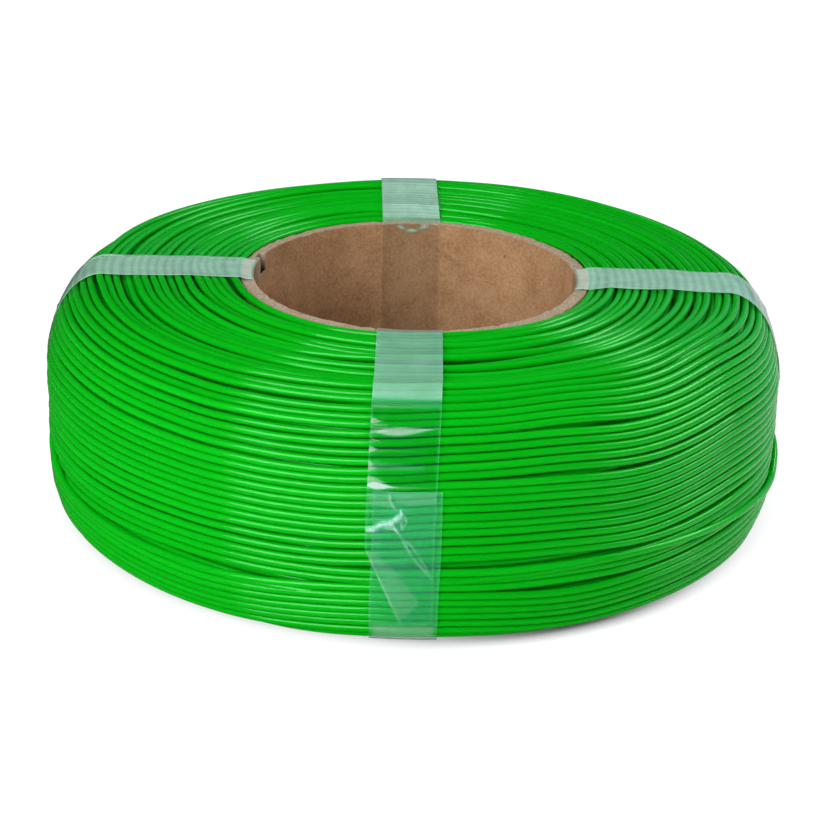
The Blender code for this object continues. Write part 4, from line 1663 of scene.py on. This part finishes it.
# Where turns part: place on the skin line, azimuth and half length in degrees, widest gap
OPENINGS = (
    Opening(0.0767, 297.0, 27.0, 0.0009),
    Opening(0.0869, 298.0, 18.0, 0.0008),
    Opening(0.0522, 294.0, 15.0, 0.0011),
    Opening(0.1010, 308.0, 20.0, 0.0014),
    Opening(0.1185, 150.0, 30.0, 0.0010),
    Opening(0.0582, 286.0, 34.0, 0.0019),
    Opening(0.0540, 238.0, 28.0, 0.0019),
    Opening(0.0592, 322.0, 22.0, 0.0012),
)

# Turns that leave their rows: azimuth in degrees, place on the skin line and lift at each knot
STRAYS = (
    StrayTurn(
        "filament_stray_right",
        (
            (254.0, 0.0570, -0.0014),
            (262.0, 0.0572, -0.0002),
            (272.0, 0.0575, 0.0),
            (285.0, 0.0580, 0.0),
            (297.0, 0.0586, 0.0001),
            (306.0, 0.0584, 0.0003),
            (316.0, 0.0577, 0.0008),
            (325.0, 0.0570, 0.0012),
            (333.0, 0.0563, 0.0014),
            (341.0, 0.0552, 0.0014),
            (345.0, 0.0556, 0.0015),
            (348.0, 0.0570, 0.0014),
            (351.0, 0.0587, 0.0012),
            (354.0, 0.0600, 0.0007),
            (358.0, 0.0610, -0.0003),
            (363.0, 0.0616, -0.0016),
        ),
    ),
    StrayTurn(
        "filament_stray_left",
        (
            (184.0, 0.0632, -0.0018),
            (189.0, 0.0624, -0.0008),
            (194.0, 0.0610, 0.0004),
            (199.0, 0.0588, 0.0011),
            (205.0, 0.0564, 0.0013),
            (212.0, 0.0551, 0.0011),
            (220.0, 0.0543, 0.0006),
            (228.0, 0.0539, 0.0002),
            (238.0, 0.0537, 0.0),
            (250.0, 0.0534, 0.0),
            (262.0, 0.0532, -0.0002),
            (270.0, 0.0530, -0.0014),
        ),
    ),
)

# Marks of the front band, each across the tape and by its place on the skin line
FRONT_FOLD = ((0.0003, 0.0480), (-0.0075, 0.0655))

# Folds of the front band's crumpled end, whose haze partly paints their highlights
FRONT_RIDGES = (
    Ridge((-0.0077, 0.0701), (-0.0050, 0.0702), 0.00058, 0.0005, 0.36),
    Ridge((-0.0056, 0.0706), (-0.0036, 0.0719), 0.00056, 0.0005, 0.36),
    Ridge((-0.0040, 0.0714), (-0.0010, 0.0721), 0.00066, 0.0006, 0.38),
    Ridge((-0.0016, 0.0724), (0.0002, 0.0738), 0.00060, 0.0006, 0.38),
    Ridge((0.0002, 0.0736), (0.0000, 0.0751), 0.00036, 0.0004, 0.34),
    Ridge((-0.0018, 0.0716), (-0.0001, 0.0693), 0.00036, 0.0005, 0.36),
    Ridge((-0.0034, 0.0708), (-0.0010, 0.0706), 0.00034, 0.0003, 0.16),
    Ridge((0.0001, 0.0728), (0.0004, 0.0704), 0.00030, 0.0003, 0.16),
    Ridge((0.0008, 0.0738), (0.0013, 0.0721), 0.00018, 0.0002, 0.18),
    Ridge((0.0013, 0.0721), (0.0005, 0.0706), 0.00018, 0.0002, 0.18),
    Ridge((0.0001, 0.0692), (0.0026, 0.0642), 0.00022, 0.00025, 0.15),
    Ridge((0.0026, 0.0642), (0.0074, 0.0586), 0.00022, 0.00025, 0.13),
    Ridge((0.0012, 0.0682), (0.0039, 0.0649), 0.00020, 0.00020, 0.10),
    Ridge((0.0039, 0.0649), (0.0070, 0.0594), 0.00020, 0.00020, 0.09),
    Ridge((-0.0025, 0.0787), (-0.0023, 0.0769), 0.00030, 0.0003, 0.16),
    Ridge((-0.0023, 0.0769), (-0.0010, 0.0748), 0.00030, 0.0003, 0.14),
    Ridge((-0.0072, 0.0650), (0.0003, 0.0482), 0.00024, 0.0002, 0.12),
)

FRONT_LAP = ((-0.0077, 0.0470), (0.0077, 0.0470), (0.0077, 0.0790), (-0.0077, 0.0790))

FRONT_PATCHES = (
    Patch(FRONT_LAP, 0.020, 0.0003),
    Patch(FRONT_LAP, 0.036, 0.0003, under=True),
    Patch(
        ((-0.0077, 0.0390), (0.0077, 0.0390), (0.0077, 0.0478), (-0.0077, 0.0478)),
        0.128,
        0.0016,
        0.6,
        under=True,
    ),
    Patch(
        ((-0.0012, 0.0766), (0.0022, 0.0759), (0.0077, 0.0763), (0.0077, 0.0790), (-0.0025, 0.0788)),
        0.052,
        chalk=0.4,
    ),
    Patch(((-0.0073, 0.0757), (-0.0012, 0.0750), (-0.0024, 0.0787), (-0.0073, 0.0789)), 0.040, 0.0008, 0.4),
    Patch(
        ((0.0003, 0.0481), (0.0047, 0.0530), (-0.0005, 0.0604), (-0.0048, 0.0644), (-0.0075, 0.0655)),
        0.034,
        0.0003,
        0.4,
    ),
    Patch(((-0.0077, 0.0960), (0.0077, 0.0962), (0.0077, 0.0984), (-0.0077, 0.0984)), 0.050, 0.0009, 0.2),
    Patch(((-0.0077, 0.0830), (0.0050, 0.0834), (0.0050, 0.0848), (-0.0077, 0.0856)), 0.045, 0.0009, 0.2),
)

# Painted highlights on blisters of the front band's loose film
FRONT_PAINTED_GLINTS = (
    PaintedGlint((-0.0079, 0.0967), (0.0060, 0.0967), 0.00020, 0.15, 0.05),
    PaintedGlint((-0.0082, 0.0936), (-0.0046, 0.0935), 0.00055, 0.30, 0.17),
    PaintedGlint((-0.0076, 0.0914), (0.0077, 0.0924), 0.00080, 0.40, 0.19, 0.00010, -0.00030),
    PaintedGlint((-0.0082, 0.0877), (-0.0054, 0.0877), 0.00060, 0.35, 0.18),
    PaintedGlint((-0.0076, 0.0876), (0.0040, 0.0876), 0.00016, 0.30, 0.03),
    PaintedGlint((-0.0082, 0.0848), (-0.0060, 0.0846), 0.00050, 0.40, 0.13),
    PaintedGlint((-0.0082, 0.0837), (-0.0050, 0.0839), 0.00045, 0.35, 0.12),
    PaintedGlint((-0.0084, 0.0817), (-0.0030, 0.0808), 0.00070, 0.30, 0.12),
    PaintedGlint((-0.0084, 0.0803), (-0.0006, 0.0799), 0.00075, 0.36, 0.40),
    PaintedGlint((-0.0040, 0.0799), (0.0074, 0.0800), 0.00022, 0.30, 0.05),
)

# Places between which the right and left bands turn hazy and take the top face's painted reflection
SIDE_HAZE = (0.0840, 0.0880)

# The bands' middles round the coil, front, right, back and left, and how far the front one's glue lies aside
BAND_DEGREES = (270.0, -3.0, 91.7, 181.0)
FRONT_GLUE_ASIDE = math.radians(0.6)

# Wrinkles of the back band where it bends over the rim, whose haze paints their highlights
BACK_RIDGES = (
    Ridge((0.0034, 0.1400), (0.0018, 0.1408), 0.00035, 0.0004, 0.38),
    Ridge((0.0012, 0.1413), (-0.0016, 0.1413), 0.00035, 0.0004, 0.38),
    Ridge((-0.0022, 0.1406), (-0.0044, 0.1400), 0.00035, 0.0004, 0.38),
)


def main() -> None:
    """Builds the coil's pieces in order."""
    logging.basicConfig(level=logging.INFO, format="%(message)s")
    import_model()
    sizes = CoilSizes.from_frame()
    front, right, back, left = (math.radians(degrees) for degrees in BAND_DEGREES)
    tapes = (front - FRONT_GLUE_ASIDE, right, back, left)
    winding = FilamentWinding(sizes, tapes, tape_width=TAPE_WIDTH, openings=OPENINGS, strays=STRAYS)
    strand = winding.build(FilamentFinish())
    CardboardCore(sizes, tapes, tape_width=TAPE_WIDTH).build(KraftFinish())
    film = FilmFinish().material("clear_film")
    bands = (
        TapeBand(
            "tape_front",
            front,
            sizes,
            strand,
            shift=-0.0009,
            outer_skew=-0.0011,
            inner_skew=0.0004,
            start_place=0.0475,
            fold=FRONT_FOLD,
            stations=61,
            step=0.00026,
            top_haze_and_reflection=0.250,
            top_chalk=0.47,
            ripple=0.0,
            rim_haze=0.30,
            ridges=FRONT_RIDGES,
            patches=FRONT_PATCHES,
            streaks=FRONT_PAINTED_GLINTS,
        ),
        TapeBand(
            "tape_right",
            right,
            sizes,
            strand,
            outer_skew=0.0045,
            inner_skew=0.0045,
            top_edge=SIDE_HAZE,
            seed=4,
        ),
        TapeBand(
            "tape_back",
            back,
            sizes,
            strand,
            step=0.0004,
            top_haze_and_reflection=0.57,
            ripple=0.15,
            rim_haze=0.18,
            seed=5,
            ridges=BACK_RIDGES,
        ),
        TapeBand(
            "tape_left",
            left,
            sizes,
            strand,
            outer_skew=-0.005,
            inner_skew=-0.005,
            top_edge=SIDE_HAZE,
            seed=6,
        ),
    )
    for band in bands:
        band.build(film)
    Studio().build()


if __name__ == "__main__":
    main()
